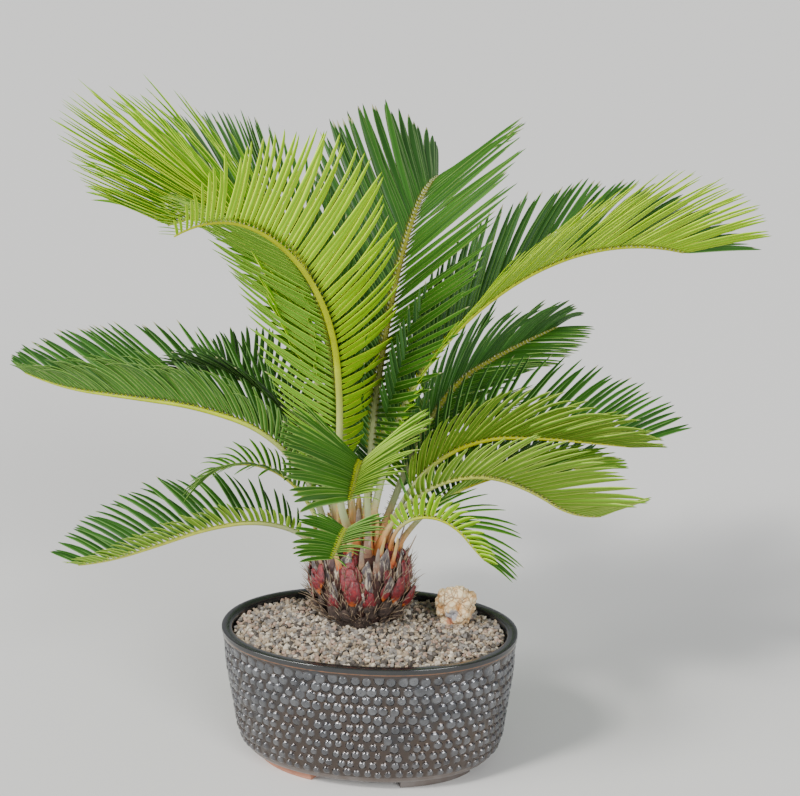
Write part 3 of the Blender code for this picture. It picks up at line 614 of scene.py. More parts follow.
class RowTree:
    """Geometry Nodes that set one small shape on every point of a mesh and bend it.

    The points carry the attributes ray, across, size and lean, hook where the tips curl, and row where
    there are two finishes.
    """

    def __init__(self) -> None:
        """Build the tree once."""
        work, given = new_group("rows_on_a_path", "GeometryNodeTree",
                                {"Geometry": ("NodeSocketGeometry", None),
                                 "Shape": ("NodeSocketObject", None), "Body": ("NodeSocketMaterial", None),
                                 "Other": ("NodeSocketMaterial", None), "Seed": ("NodeSocketInt", 1)},
                                {"Geometry": "NodeSocketGeometry"})
        points = given["Geometry"]
        for step, name in enumerate(("dry", "tint")):
            seed = work.math("ADD", given["Seed"], float(step * 100))
            dice = work.node("FunctionNodeRandomValue", {"Seed": seed}, data_type="FLOAT")
            store = work.node("GeometryNodeStoreNamedAttribute", {"Geometry": points, "Name": name},
                              data_type="FLOAT", domain="POINT")
            value = next(s for s in store.inputs if s.name == "Value" and s.enabled)
            work.feed(value, next(s for s in dice.outputs if s.enabled))
            points = store.outputs["Geometry"]
        turn = work.node("FunctionNodeAxesToRotation",
                         {"Primary Axis": work.named("ray", "FLOAT_VECTOR"),
                          "Secondary Axis": work.named("across", "FLOAT_VECTOR")},
                         primary_axis="Z", secondary_axis="X")
        shape = work.node("GeometryNodeObjectInfo", {"Object": given["Shape"]})
        placed = work.node("GeometryNodeInstanceOnPoints",
                           {"Points": points, "Instance": shape.outputs["Geometry"],
                            "Rotation": turn.outputs["Rotation"],
                            "Scale": work.named("size", "FLOAT_VECTOR")})
        real = work.node("GeometryNodeRealizeInstances", {"Geometry": placed.outputs["Instances"]})
        reach = work.named("reach", "FLOAT")
        lean = work.node("ShaderNodeVectorMath", {0: work.named("lean", "FLOAT_VECTOR"),
                                                  "Scale": work.math("MULTIPLY", reach, reach)},
                         operation="SCALE")
        hook = work.node("ShaderNodeVectorMath", {0: work.named("hook", "FLOAT_VECTOR"),
                                                  "Scale": work.math("POWER", reach, 5.0)},
                         operation="SCALE")
        both = work.node("ShaderNodeVectorMath", {0: lean.outputs["Vector"], 1: hook.outputs["Vector"]})
        bent = work.node("GeometryNodeSetPosition", {"Geometry": real.outputs["Geometry"],
                                                     "Offset": both.outputs["Vector"]})
        body = work.node("GeometryNodeSetMaterial", {"Geometry": bent.outputs["Geometry"],
                                                     "Material": given["Body"]})
        second = work.math("GREATER_THAN", work.named("row", "FLOAT"), 0.5)
        other = work.node("GeometryNodeSetMaterial", {"Geometry": body.outputs["Geometry"],
                                                      "Selection": second, "Material": given["Other"]})
        work.node("NodeGroupOutput", {"Geometry": other.outputs["Geometry"]})
        self.tree = work.tree

    def grow(self, name: str, rows: dict[str, np.ndarray], shape: bpy.types.Object, body: Finish,
             other: Finish | None = None, seed: int = 1) -> bpy.types.Object:
        """Run the tree and keep its result as a plain mesh.

        Args:
            name: The new piece's name.
            rows: Root, ray, across, size and lean of each shape, and row if there are two finishes.
            shape: The shape to set on each root.
            body: The finish.
            other: The finish of the shapes whose row is 1.
            seed: The tree's seed.

        Returns:
            The piece.
        """
        source = mesh_object(name + "_roots", rows["root"], [])
        for key in rows.keys() - {"root"}:
            set_attribute(source, key, rows[key])
        modifier = source.modifiers.new("grow", "NODES")
        modifier.node_group = self.tree
        values = {"Shape": shape, "Body": body.build(), "Other": (other or body).build(), "Seed": seed}
        for item in self.tree.interface.items_tree:
            if item.in_out == "INPUT" and item.name in values:
                modifier[item.identifier] = values[item.name]
        graph = bpy.context.evaluated_depsgraph_get()
        mesh = bpy.data.meshes.new_from_object(source.evaluated_get(graph), depsgraph=graph)
        source.modifiers.clear()
        old = source.data
        bpy.data.objects.remove(source, do_unlink=True)
        bpy.data.meshes.remove(old)
        mesh.name = name
        return new_object(name, mesh)


ROWS = RowTree()


def small_shape(name: str, stations: list[tuple], outline: list[tuple],
                edge: tuple = (), under: tuple = ()) -> bpy.types.Object:
    """A closed blade along +Z with its width on X, for the row tree.

    Args:
        name: The shape's name.
        stations: Reach, width and lift of each ring; the last is the tip.
        outline: The ring's points at width 1.
        edge: The edge attribute of each of the ring's points.
        under: Numbers of the outline's sides that are its back.

    Returns:
        The shape's object, hidden from the render.
    """
    ring = np.array(outline)
    count, rows = len(ring), len(stations) - 1
    along, width, lift = np.array(stations).T
    points = np.zeros((rows, count, 3))
    points[..., 0] = ring[:, 0] * width[:-1, None]
    points[..., 1] = ring[:, 1] * width[:-1, None] + lift[:-1, None]
    points[..., 2] = along[:-1, None]
    points = np.vstack([points.reshape(-1, 3), [[0.0, lift[-1], along[-1]]]])
    tip = rows * count
    cone = [(tip - count + c, tip - count + (c + 1) % count, tip) for c in range(count)]
    faces = [tuple(range(count))[::-1]] + ring_faces(rows, count) + cone
    shape = mesh_object(name, points, faces)
    set_attribute(shape, "reach", np.append(np.repeat(along[:-1], count), along[-1]))
    set_attribute(shape, "edge", np.append(np.tile(edge or np.zeros(count), rows), 0.0))
    backs = [0.0] + [float(c in under) for c in range(count)] * rows
    set_attribute(shape, "under", backs, "FACE")
    shape.hide_render = True
    return shape


@dataclass
class Pot:
    """The oval pot: hobnailed wall, black lip, plain foot band and four feet."""

    half_length: float = 0.154
    half_depth: float = 0.105
    roundness: float = 2.12
    lip: float = 0.012
    wall: float = 0.010
    columns: int = 780
    levels: int = 98
    nail_rows: int = 11
    nails_round: int = 70
    nail_radii: tuple = (0.0041, 0.0055)
    nail_height: float = 0.0034
    crater_depth: float = 0.55
    crater_width: float = 0.36
    sink: float = 0.0023
    outside: tuple = ((0.007, 0.780), (0.011, 0.842), (0.018, 0.882), (0.032, 0.910), (0.060, 0.935),
                      (0.100, 0.972), (0.127, 0.980), (0.131, 0.990), (0.1375, 1.000), (0.140, 0.992))
    foot_band: tuple = (0.007, 0.0085, 0.011, 0.0145)
    wall_span: tuple = (0.0165, 0.1305)
    lip_levels: tuple = (0.1325, 0.1338, 0.1350, 0.1375, 0.1390)
    inside: tuple = ((0.1400, 1.0, 0.0012), (0.1400, 1.0, 0.0030), (0.1400, 1.0, 0.009),
                     (0.1392, 1.0, 0.0112), (0.1370, 1.0, 0.012), (0.1290, 1.0, 0.012),
                     (0.1240, 0.979, 0.010), (0.0400, 0.917, 0.010), (0.0200, 0.889, 0.022))
    nails_span: tuple = (0.0215, 0.1262)
    seam_x: float = 0.016
    seam_span: tuple = (0.108, 0.129)
    foot_share: float = 0.765
    foot_width: float = 0.014
    foot_profile: tuple = ((-0.5, 0.0012), (-0.42, 0.0), (0.42, 0.0), (0.5, 0.0012), (0.5, 0.0095),
                           (-0.5, 0.0095))
    front_slot: float = 0.086
    end_slot: float = 0.056
    seed: int = 11

    def oval(self, share: float, turns: np.ndarray, inset: float = 0.0) -> np.ndarray:
        """Points of the pot's oval.

        Args:
            share: Size as a share of the lip's oval.
            turns: Angles round the oval.
            inset: How far the points stand in from it.

        Returns:
            Points with two numbers each.
        """
        power = 2 / self.roundness
        c, s = np.cos(turns), np.sin(turns)
        x = (self.half_length * share - inset) * np.sign(c) * np.abs(c) ** power
        y = (self.half_depth * share - inset) * np.sign(s) * np.abs(s) ** power
        return np.stack([x, y], axis=-1)

    def even_turns(self, count: int) -> np.ndarray:
        """Angles that step evenly along the oval's edge."""
        fine = np.linspace(0, 2 * math.pi, 4001)
        steps = np.hypot(*np.diff(self.oval(1.0, fine), axis=0).T)
        length = np.concatenate([[0.0], np.cumsum(steps)])
        return np.interp(np.arange(count) / count * length[-1], length, fine)

    def ring(self, z: float, share: float, turns: np.ndarray, inset: float) -> np.ndarray:
        """One level of the pot or its fill, three numbers a point."""
        return np.column_stack([self.oval(share, turns, inset), np.full(len(turns), z)])

    def relief(self, z: float, column: np.ndarray, flat: np.ndarray) -> np.ndarray:
        """How far the hobnails and the seam stand out at a level.

        Args:
            z: The level's height.
            column: Places round the pot, from 0 to 1.
            flat: The wall's points there.

        Returns:
            A share from 0 between the hobnails to 1 on their tops.
        """
        rng = np.random.default_rng(self.seed)
        low, high = self.nails_span
        pitch = (high - low) / (self.nail_rows - 1)
        around = 2 * math.pi * math.hypot(self.half_length, self.half_depth) / math.sqrt(2)
        result = np.zeros(len(column))
        for row in range(self.nail_rows):
            radius = np.interp(row, (0, self.nail_rows - 1), self.nail_radii)
            jitter = rng.normal(0.0, 1.0, (self.nails_round, 3))
            place = (column * self.nails_round - 0.5 * (row % 2)) % self.nails_round
            nearest = np.round(place).astype(int)
            off = jitter[nearest % self.nails_round]
            across = (place - nearest - off[:, 0] * 0.07) * around / self.nails_round
            climb = z - low - pitch * row - off[:, 1] * 0.0007
            distance = np.hypot(across, climb) / (radius * (1 + 0.09 * off[:, 2]))
            crater = 1 - self.crater_depth * np.exp(-(distance / self.crater_width) ** 2)
            result = np.maximum(result, np.clip(1 - distance ** 2, 0, 1) ** 0.66 * crater)
        if self.seam_span[0] < z < self.seam_span[1]:
            near = 1 - np.abs(flat[:, 0] - self.seam_x) / 0.0012
            result = np.maximum(result, 0.4 * np.clip(near, 0, 1) * (flat[:, 1] < 0))
        return result

    def build_bowl(self) -> bpy.types.Object:
        """The bowl as one closed mesh, with the hobnails as its relief."""
        turns = self.even_turns(self.columns)
        column = np.arange(self.columns) / self.columns
        heights, shares = zip(*self.outside)
        levels = [*self.foot_band, *np.linspace(*self.wall_span, self.levels), *self.lip_levels]
        rings, domes = [], []
        for z in levels:
            on_wall = z <= self.wall_span[1]
            inset = self.sink if on_wall and z > self.foot_band[-1] else 0.0010
            flat = self.ring(z, float(np.interp(z, heights, shares)), turns, inset)
            dome = self.relief(z, column, flat) if on_wall else np.zeros(self.columns)
            flat[:, :2] += unit(flat[:, :2]) * (dome * self.nail_height)[:, None]
            rings.append(flat)
            domes.append(dome)
        for z, share, inset in self.inside:
            rings.append(self.ring(z, share, turns, inset))
            domes.append(np.zeros(self.columns))
        bowl = mesh_object("pot_bowl", np.vstack(rings) + np.array(HOME), tube_faces(len(rings), self.columns))
        set_attribute(bowl, "dome", np.concatenate(domes))
        for finish in (GLAZE_BROWN, GLAZE_METAL, GLAZE_BREAK, GLAZE_BLACK):
            bowl.data.materials.append(finish.build())
        wall_end = len(self.foot_band) + self.levels
        kinds = np.full(len(rings) - 1, 3)
        kinds[:len(self.foot_band)] = 0
        kinds[len(self.foot_band):wall_end + 1] = 1
        kinds[wall_end + 1] = 2
        chosen = np.append(np.repeat(kinds, self.columns), [0, 3])
        bowl.data.polygons.foreach_set("material_index", chosen.tolist())
        return bowl

    def build_feet(self) -> bpy.types.Object:
        """The four feet, each a length of the foot ring with softened edges."""
        turns = np.linspace(0, 2 * math.pi, 1440, endpoint=False)
        ring = self.oval(self.foot_share, turns, self.foot_width / 2)
        solid = (np.abs(ring[:, 0]) > self.front_slot / 2) & (np.abs(ring[:, 1]) > self.end_slot / 2)
        points, faces = [], []
        for start in np.flatnonzero(solid & ~np.roll(solid, 1)):
            run = int(np.argmin(np.roll(solid, -start)))
            stations = np.linspace(start, start + run - 1, 28).astype(int) % len(turns)
            sides = [self.ring(z, self.foot_share, turns[stations], self.foot_width * (0.5 - share))
                     for share, z in self.foot_profile]
            faces += tube_faces(len(stations), len(sides), len(points))
            points.extend(np.stack(sides, axis=1).reshape(-1, 3))
        feet = mesh_object("pot_feet", np.array(points) + np.array(HOME), faces, smooth=False)
        point_outwards(feet)
        feet.data.materials.append(BARE_CLAY.build())
        feet.data.materials.append(GLAZE_BROWN.build())
        glazed = [int(face.center.x > HOME.x) for face in feet.data.polygons]
        feet.data.polygons.foreach_set("material_index", glazed)
        return feet

    def build(self) -> None:
        """Make the pot's pieces and tie them to the frame."""
        finish_piece(self.build_bowl(), "pot", "pot")
        finish_piece(self.build_feet(), "pot", "pot")


@dataclass
class Grit:
    """The bed of grit and the grains that lie on it."""

    pot: Pot
    top: float = 0.1362
    edge: float = 0.1345
    sunk: float = 0.0026
    gap: float = 0.0004
    grains: int = 3000
    grain: float = 0.0072
    trunk_clear: float = 0.030
    seed: int = 5

    def build_bed(self) -> bpy.types.Object:
        """The fill under the grains, one closed mesh, near black as painted shade in the gaps between grains."""
        turns = self.pot.even_turns(160)
        inset = self.pot.lip + self.gap
        under = ((0.0205, 0.889, 0.0225), (0.040, 0.917, self.pot.wall + self.gap),
                 (0.124, 0.979, self.pot.wall + self.gap), (0.129, 1.0, inset))
        rings = [self.pot.ring(z, share, turns, offset) for z, share, offset in under]
        for share in (1.0, 0.95, 0.88, 0.78, 0.64, 0.48, 0.32, 0.16):
            z = np.interp(1.0 - share, (0.0, 0.14), (self.edge, self.top)) - self.sunk
            rings.append(self.pot.ring(z, share, turns, inset * share))
        bed = mesh_object("grit_bed", np.vstack(rings) + np.array(HOME), tube_faces(len(rings), len(turns)))
        bed.data.materials.append(GRIT_BED_SHADE.build())
        return bed

    def grain_shape(self, tone: GrainTone, rng: np.random.Generator) -> bpy.types.Object:
        """One angular grain: the hull of a few points on a flattened ball."""
        bm = bmesh.new()
        for spot in unit(rng.normal(size=(14, 3))):
            bm.verts.new(spot * (0.56, 0.45, 0.37) * rng.uniform(0.84, 1.0))
        bmesh.ops.convex_hull(bm, input=bm.verts)
        bmesh.ops.delete(bm, geom=[v for v in bm.verts if not v.link_faces], context="VERTS")
        bmesh.ops.recalc_face_normals(bm, faces=bm.faces)
        mesh = bpy.data.meshes.new(f"grain_{tone.name.lower()}_shape")
        bm.to_mesh(mesh)
        bm.free()
        shape = new_object(mesh.name, mesh)
        shape.hide_render = True
        return shape

    def spots(self, rng: np.random.Generator) -> np.ndarray:
        """Places for the grains, on a shaken grid clear of the trunk."""
        a, b = (half - self.pot.lip - 0.0028 for half in (self.pot.half_length, self.pot.half_depth))
        pitch = math.sqrt(math.pi * a * b / self.grains)
        grid = np.stack(np.meshgrid(np.arange(-a, a, pitch), np.arange(-b, b, pitch)), axis=-1).reshape(-1, 2)
        grid = grid + rng.uniform(-0.55, 0.55, grid.shape) * pitch
        level = (np.abs(grid) / (a, b)) ** self.pot.roundness @ np.ones(2)
        keep = (level < 1.0) & (np.hypot(*(grid - TRUNK_AXIS).T) > self.trunk_clear)
        grid, level = grid[keep], level[keep]
        z = np.interp(1.0 - level, (0.0, 0.26), (self.edge, self.top))
        return np.column_stack([grid, z + rng.uniform(-0.0020, 0.0008, len(grid))])

    def build(self) -> None:
        """Make the bed and one joined piece of grains for each tone."""
        finish_piece(self.build_bed(), "grit", "grit")
        rng = np.random.default_rng(self.seed)
        spots = rng.permutation(self.spots(rng) + np.array(HOME))
        ends = np.cumsum([0.0] + [tone.value[2] for tone in GrainTone]) * len(spots)
        for tone, start, end in zip(GrainTone, ends[:-1].astype(int), ends[1:].astype(int)):
            count = end - start
            rays = unit(rng.normal(size=(count, 3)) * (1, 1, 1.6))
            rows = {"root": spots[start:end], "ray": rays,
                    "across": np.cross(rays, rng.normal(size=(count, 3))),
                    "size": self.grain * rng.uniform(0.72, 1.22, (count, 1)) * np.ones(3),
                    "lean": np.zeros((count, 3))}
            piece = ROWS.grow(f"grains_{tone.name.lower()}", rows, self.grain_shape(tone, rng), tone.finish())
            finish_piece(piece, "grit")


TRUNK_AXIS = np.array([-0.016, 0.040])


@dataclass(frozen=True)
class StoneFinish(Finish):
    """Cream and orange crystals, with a grey-blue patch and a reddish spot towards the front."""

    vein: Colour = (0.46, 0.21, 0.06)
    deep: Colour = (0.115, 0.050, 0.024)
    patch: Colour = (0.30, 0.31, 0.34)
    spot: Colour = (0.42, 0.14, 0.07)
    patch_place: tuple = (0.0, 0.0, 0.0)
    spot_place: tuple = (0.0, 0.0, 0.0)

    def paint(self, work: NodeTree) -> dict[str, Socket]:
        """Lay veins, patch and spot over the crystals."""
        colour = self.patches(work, self.first, self.second, self.mottle)
        cells = work.node("ShaderNodeTexVoronoi", {"Vector": work.place(), "Scale": 170.0},
                          feature="DISTANCE_TO_EDGE")
        colour = work.blend(work.ramp(cells.outputs["Distance"], 0.16, 0.02, 0.0, 0.6), colour,
                            rgba(self.vein))
        colour = work.blend(work.ramp(work.attribute("pit"), 0.25, 0.9, 0.0, 0.85), colour, rgba(self.deep))
        cloud = work.node("ShaderNodeTexNoise", {"Vector": work.place(), "Scale": 260.0, "Detail": 3.0})
        for place, tint, radius in ((self.patch_place, self.patch, 0.0065), (self.spot_place, self.spot, 0.005)):
            away = work.node("ShaderNodeVectorMath", {0: work.place(), 1: place}, operation="DISTANCE")
            ragged = work.math("MULTIPLY_ADD", cloud.outputs["Fac"], 0.008, away.outputs["Value"])
            colour = work.blend(work.ramp(ragged, radius + 0.005, radius + 0.003, 0.0, 0.85), colour, rgba(tint))
        return {"Base Color": colour}


@dataclass
class AccentStone:
    """The small tan stone that lies on the grit."""

    x: float = 0.086
    y: float = 0.037
    size: tuple = (0.041, 0.036, 0.042)
    rest: float = 0.1370
    middle: float = 0.40
    tilt: float = 24.0

    def build(self) -> None:
        """Make the stone from a ball with lumps, facets and cracks."""
        bm = bmesh.new()
        bmesh.ops.create_icosphere(bm, subdivisions=6, radius=0.5)
        pits = []
        for vert in bm.verts:
            p = vert.co.copy()
            lump = 0.26 * noise.noise(p * 3.1) + 0.12 * noise.noise(p * 7.0 + Vector((1.0, 7.0, 3.0)))
            crack = max(0.0, 1.0 - abs(noise.noise(p * 5.0 + Vector((9.0, 2.0, 5.0)))) / 0.10)
            cells = noise.voronoi(p * 3.4)[0]
            facet = min(1.0, (cells[1] - cells[0]) / 0.30)
            fine = noise.voronoi(p * 13.0)[0]
            lump += 0.10 * facet - 0.06 * crack + 0.025 * (fine[1] - fine[0]) - 0.05
            vert.co = p * (1.0 + lump)
            pits.append(max(crack, 1.0 - facet * 3.6))
        bmesh.ops.scale(bm, vec=self.size, verts=bm.verts)
        turn = Matrix.Rotation(math.radians(self.tilt), 3, "Y")
        bmesh.ops.rotate(bm, verts=bm.verts, matrix=turn)
        centre = HOME + Vector((self.x, self.y, self.rest + self.middle * self.size[2]))
        bmesh.ops.translate(bm, verts=bm.verts, vec=centre)
        for vert in bm.verts:
            vert.co.z = max(vert.co.z, HOME.z + self.rest - 0.002)
        mesh = bpy.data.meshes.new("accent_stone_rough")
        bm.to_mesh(mesh)
        bm.free()
        stone = new_object("accent_stone_rough", mesh)
        mesh.polygons.foreach_set("use_smooth", [True] * len(mesh.polygons))
        set_attribute(stone, "pit", np.array(pits))
        finish = StoneFinish("tan_stone", (0.82, 0.68, 0.43), (0.66, 0.37, 0.14), 0.70, mottle=70.0,
                             balance=0.53, sharpness=0.08, coat=0.1, grain=500.0, grain_strength=0.7,
                             grain_depth=0.001,
                             patch_place=tuple(centre + Vector((-0.003, -0.016, -0.004))),
                             spot_place=tuple(centre + Vector((-0.006, -0.015, -0.012))))
        mesh.materials.append(finish.build())
        finish_piece(stone, "accent_stone", "accent_stone")


@dataclass
class Caudex:
    """The trunk: a dark core clad in leaf bases, under a ring of cut stalks."""

    profile: tuple = ((0.0300, 0.1330), (0.0350, 0.1400), (0.0410, 0.147), (0.0455, 0.157), (0.0480, 0.171),
                      (0.0470, 0.184), (0.0410, 0.196), (0.0330, 0.206), (0.0210, 0.2145), (0.0100, 0.2200))
    top: float = 0.2215
    bases: int = 150
    span: tuple = (0.1375, 0.2030)
    worn_below: float = 0.32
    red_share: float = 0.52
    base_length: float = 0.026
    base_width: float = 0.0158
    fibres: int = 700
    stubs: int = 36
    stub_length: float = 0.050
    stub_width: float = 0.0115
    seed: int = 7

    def radius(self, z: np.ndarray | float) -> np.ndarray:
        """The core's radius at a height."""
        radii, heights = zip(*self.profile)
        return np.interp(z, heights, radii)

    def crown_height(self, radius: float) -> float:
        """The height of the core's shoulder at a radius."""
        radii, heights = zip(*self.profile[:4:-1])
        return float(np.interp(radius, radii, heights))

    def build_core(self) -> bpy.types.Object:
        """The core as a turned mesh with a rough skin."""
        turns = np.linspace(0, 2 * math.pi, 96, endpoint=False)
        rings = []
        for z in np.linspace(self.profile[0][1], self.profile[-1][1], 60):
            rough = [noise.noise(Vector((math.cos(t), math.sin(t), z * 30)) * 5.0) for t in turns]
            r = self.radius(z) + 0.0012 * np.array(rough)
            rings.append(np.column_stack([r * np.cos(turns), r * np.sin(turns), np.full(len(turns), z)]))
        points = np.vstack(rings) + (*TRUNK_AXIS, 0.0) + np.array(HOME)
        core = mesh_object("trunk_core", points, tube_faces(len(rings), len(turns)))
        core.data.materials.append(TRUNK_CORE.build())
        return core

    def rows_for(self, turns: np.ndarray, z: np.ndarray, sink: np.ndarray, lift: np.ndarray,
                 size: np.ndarray, curl: np.ndarray, rng: np.random.Generator) -> dict[str, np.ndarray]:
        """Rows of blades that stand up along the core's skin.

        Args:
            turns: Their angles round the trunk.
            z: Their heights.
            sink: How deep their roots lie under the skin.
            lift: How far they stand off the skin, as a share of their length.
            size: Width, thickness and length of each.
            curl: How far their tips bend outwards, as a share of their length.
            rng: The source of their unevenness.

        Returns:
            Root, ray, across, size and lean of each blade.
        """
        out = np.column_stack([np.cos(turns), np.sin(turns), np.zeros(len(turns))])
        slope = (self.radius(z + 0.004) - self.radius(z - 0.004)) / 0.008
        along = unit(out * slope[:, None] + (0.0, 0.0, 1.0))
        sway = np.cross(out, along) * rng.uniform(-0.42, 0.42, (len(turns), 1))
        ray = unit(along + out * lift[:, None] + sway)
        root = out * (self.radius(z) - sink)[:, None] - along * 0.008
        root = root + np.column_stack([np.zeros((len(z), 2)), z]) + (*TRUNK_AXIS, 0.0)
        return {"root": root + np.array(HOME), "ray": ray, "across": unit(np.cross(out, ray)), "size": size,
                "lean": out * (curl * size[:, 2])[:, None]}

    def build_bases(self) -> None:
        """Clad the core in red bases, papery scales and, low down, worn stumps."""
        rng = np.random.default_rng(self.seed)
        share = (np.arange(self.bases) + 0.5) / self.bases
        turns = np.arange(self.bases) * GOLDEN_TURN + rng.uniform(-0.26, 0.26, self.bases)
        z = np.interp(share, (0, 1), self.span) + rng.uniform(-0.0035, 0.0035, self.bases)
        worn = share + rng.uniform(-0.10, 0.10, self.bases) < self.worn_below
        red = ~worn & (rng.uniform(size=self.bases) < self.red_share)
        outline = [(-0.5, -0.02), (-0.30, 0.12), (0.0, 0.20), (0.30, 0.12), (0.5, -0.02), (0.0, -0.12)]
        edge = (1.0, 0.0, -0.4, 0.0, 1.0, 0.0)
        lozenge = small_shape("red_base_shape", [(0.0, 0.12, 0.0), (0.10, 0.38, 0.01), (0.24, 0.74, 0.03),
                                                 (0.38, 0.98, 0.05), (0.50, 1.0, 0.05), (0.64, 0.84, 0.03),
                                                 (0.80, 0.60, 0.0), (0.94, 0.46, -0.04), (1.0, 0.0, -0.06)],
                              outline, edge)
        pointed = small_shape("scale_shape", [(0.0, 0.60, 0.0), (0.15, 0.90, 0.02), (0.32, 1.0, 0.04),
                                              (0.48, 0.90, 0.04), (0.64, 0.66, 0.02), (0.78, 0.42, -0.01),
                                              (0.90, 0.20, -0.04), (1.0, 0.0, -0.08)], outline, edge)
        kinds = (("trunk_red_bases", RED_BASE, lozenge, red, 0.88, 1.0, -0.0028, (0.02, 0.22), 0.0),
                 ("trunk_scales", GREY_SCALE, pointed, ~worn & ~red, 0.55, 1.20, 0.0010, (0.12, 0.52), 0.22),
                 ("trunk_worn_bases", OLD_BASE, lozenge, worn, 1.15, 0.80, 0.0, (0.10, 0.40), 0.0))
        for name, finish, shape, chosen, thick, long, sink, lifts, curl in kinds:
            count = int(chosen.sum())
            scale = rng.uniform(0.66, 1.34, count)
            size = np.column_stack([self.base_width * scale, self.base_width * scale * thick,
                                    self.base_length * scale * long])
            rows = self.rows_for(turns[chosen], z[chosen], np.full(count, sink), rng.uniform(*lifts, count),
                                 size, curl * rng.uniform(0.2, 1.0, count), rng)
            finish_piece(ROWS.grow(name, rows, shape, finish), "trunk", "trunk")

    def build_fibres(self) -> None:
        """Dry hairs that stick out between the scales."""
        rng = np.random.default_rng(self.seed + 2)
        turns = rng.uniform(0, 2 * math.pi, self.fibres)
        z = rng.uniform(0.143, 0.204, self.fibres)
        width = rng.uniform(0.0005, 0.0010, self.fibres)
        size = np.column_stack([width, width, rng.uniform(0.008, 0.020, self.fibres)])
        rows = self.rows_for(turns, z, rng.uniform(-0.007, -0.001, self.fibres),
                             rng.uniform(0.2, 1.1, self.fibres), size, rng.uniform(-0.2, 0.5, self.fibres), rng)
        shape = small_shape("fibre_shape", [(0.0, 1.0, 0.0), (0.4, 0.9, 0.0), (0.75, 0.6, 0.0), (1.0, 0.0, 0.0)],
                            [(-0.5, -0.3), (0.5, -0.3), (0.0, 0.5)])
        finish_piece(ROWS.grow("trunk_fibres", rows, shape, FIBRE), "trunk")

    def build_stubs(self) -> None:
        """Stand cut stalks and papery sheaths round the crown."""
        rng = np.random.default_rng(self.seed + 1)
        share = np.sqrt((np.arange(self.stubs) + 0.5) / self.stubs)
        turns = np.arange(self.stubs) * GOLDEN_TURN
        radius = 0.008 + 0.034 * share
        out = np.column_stack([np.cos(turns), np.sin(turns), np.zeros(self.stubs)])
        z = np.array([self.crown_height(r) for r in radius]) - 0.008
        ray = unit(out * (0.04 + 0.34 * share ** 2)[:, None] + (0.0, 0.0, 1.0))
        root = out * radius[:, None] + np.column_stack([np.zeros((self.stubs, 2)), z])
        paper = rng.uniform(size=self.stubs) < 0.35
        scale = rng.uniform(0.65, 1.1, self.stubs)
        size = scale[:, None] * (self.stub_width, self.stub_width, self.stub_length)
        size[:, 1] *= np.where(paper, 0.5, 1.0)
        rows = {"root": root + (*TRUNK_AXIS, 0.0) + np.array(HOME), "ray": ray,
                "across": unit(np.cross(out, ray)), "size": size, "row": paper.astype(float),
                "lean": out * rng.uniform(-0.004, 0.006, (self.stubs, 1))}
        outline = [(-0.5, 0.0), (-0.3, 0.24), (0.0, 0.32), (0.3, 0.24), (0.5, 0.0), (0.3, -0.18),
                   (0.0, -0.22), (-0.3, -0.18)]
        shape = small_shape("stub_shape", [(0.0, 1.0, 0.0), (0.15, 0.95, 0.0), (0.35, 0.76, 0.02),
                                           (0.60, 0.58, 0.03), (0.82, 0.46, 0.02), (0.94, 0.32, 0.0),
                                           (1.0, 0.0, -0.04)], outline)
        finish_piece(ROWS.grow("crown_stubs", rows, shape, CUT_STALK, PAPER_SHEATH), "trunk")

    def build(self) -> None:
        """Make the trunk's pieces."""
        finish_piece(self.build_core(), "trunk", "trunk")
        self.build_bases()
        self.build_fibres()
        self.build_stubs()


@dataclass(frozen=True)
class Row:
    """The leaflets along one side of a rachis, by the source's rule."""

    leaf: float
    vee: float
    sweep: float = 1.0
    droop: float = 0.10
    tip: float = 0.42
    tone: LeafTone = LeafTone.DEEP
    even: float = 0.0
    curl: float = 0.03
    turn: float = 16.0
    width: float = 1.0

    def lengths(self, place: np.ndarray) -> np.ndarray:
        """Leaflet lengths at places along the leafy part, from 0 to 1."""
        growth = np.interp(place, (0.0, 0.12, 0.3, 0.5), (0.35, 0.62, 0.93, 1.0))
        fade = 1 - (1 - self.tip) * np.clip(2 * place - 1, 0, 1) ** 1.6
        return self.leaf * np.where(place < 0.5, growth, fade)


@dataclass(frozen=True)
class Frond:
    """One frond by the source's rule: where it leaves the crown, how it climbs, its two rows."""

    name: str
    seat: float
    radius: float
    height: float
    heading: float
    climb: tuple
    length: float
    roll: float
    twist: float
    bare: float
    rachis: LeafTone
    right: Row
    left: Row

    def walk(self, steps: int) -> dict[str, np.ndarray]:
        """Walk the rachis out from its seat.

        Args:
            steps: Number of steps.

        Returns:
            Shares of the length, points, and the along, normal and side directions.
        """
        share = np.linspace(0.0, 1.0, steps + 1)
        heading, seat = math.radians(self.heading), math.radians(self.seat)
        slope = np.radians(np.interp(share, np.linspace(0, 1, len(self.climb)), self.climb))
        flat = np.array([math.cos(heading), math.sin(heading), 0.0])
        rise = np.array([0.0, 0.0, 1.0])
        along = np.outer(np.cos(slope), flat) + np.outer(np.sin(slope), rise)
        normal = np.outer(-np.sin(slope), flat) + np.outer(np.cos(slope), rise)
        side = np.cross(along, normal)
        roll = np.radians(self.roll + self.twist * share)[:, None]
        start = np.array([*(TRUNK_AXIS + self.radius * np.array([math.cos(seat), math.sin(seat)])),
                          self.height]) + np.array(HOME)
        step = (along[1:] + along[:-1]) / 2 * self.length / steps
        return {"share": share, "points": np.vstack([start, start + np.cumsum(step, axis=0)]),
                "along": along, "normal": np.cos(roll) * normal + np.sin(roll) * side,
                "side": np.cos(roll) * side - np.sin(roll) * normal}


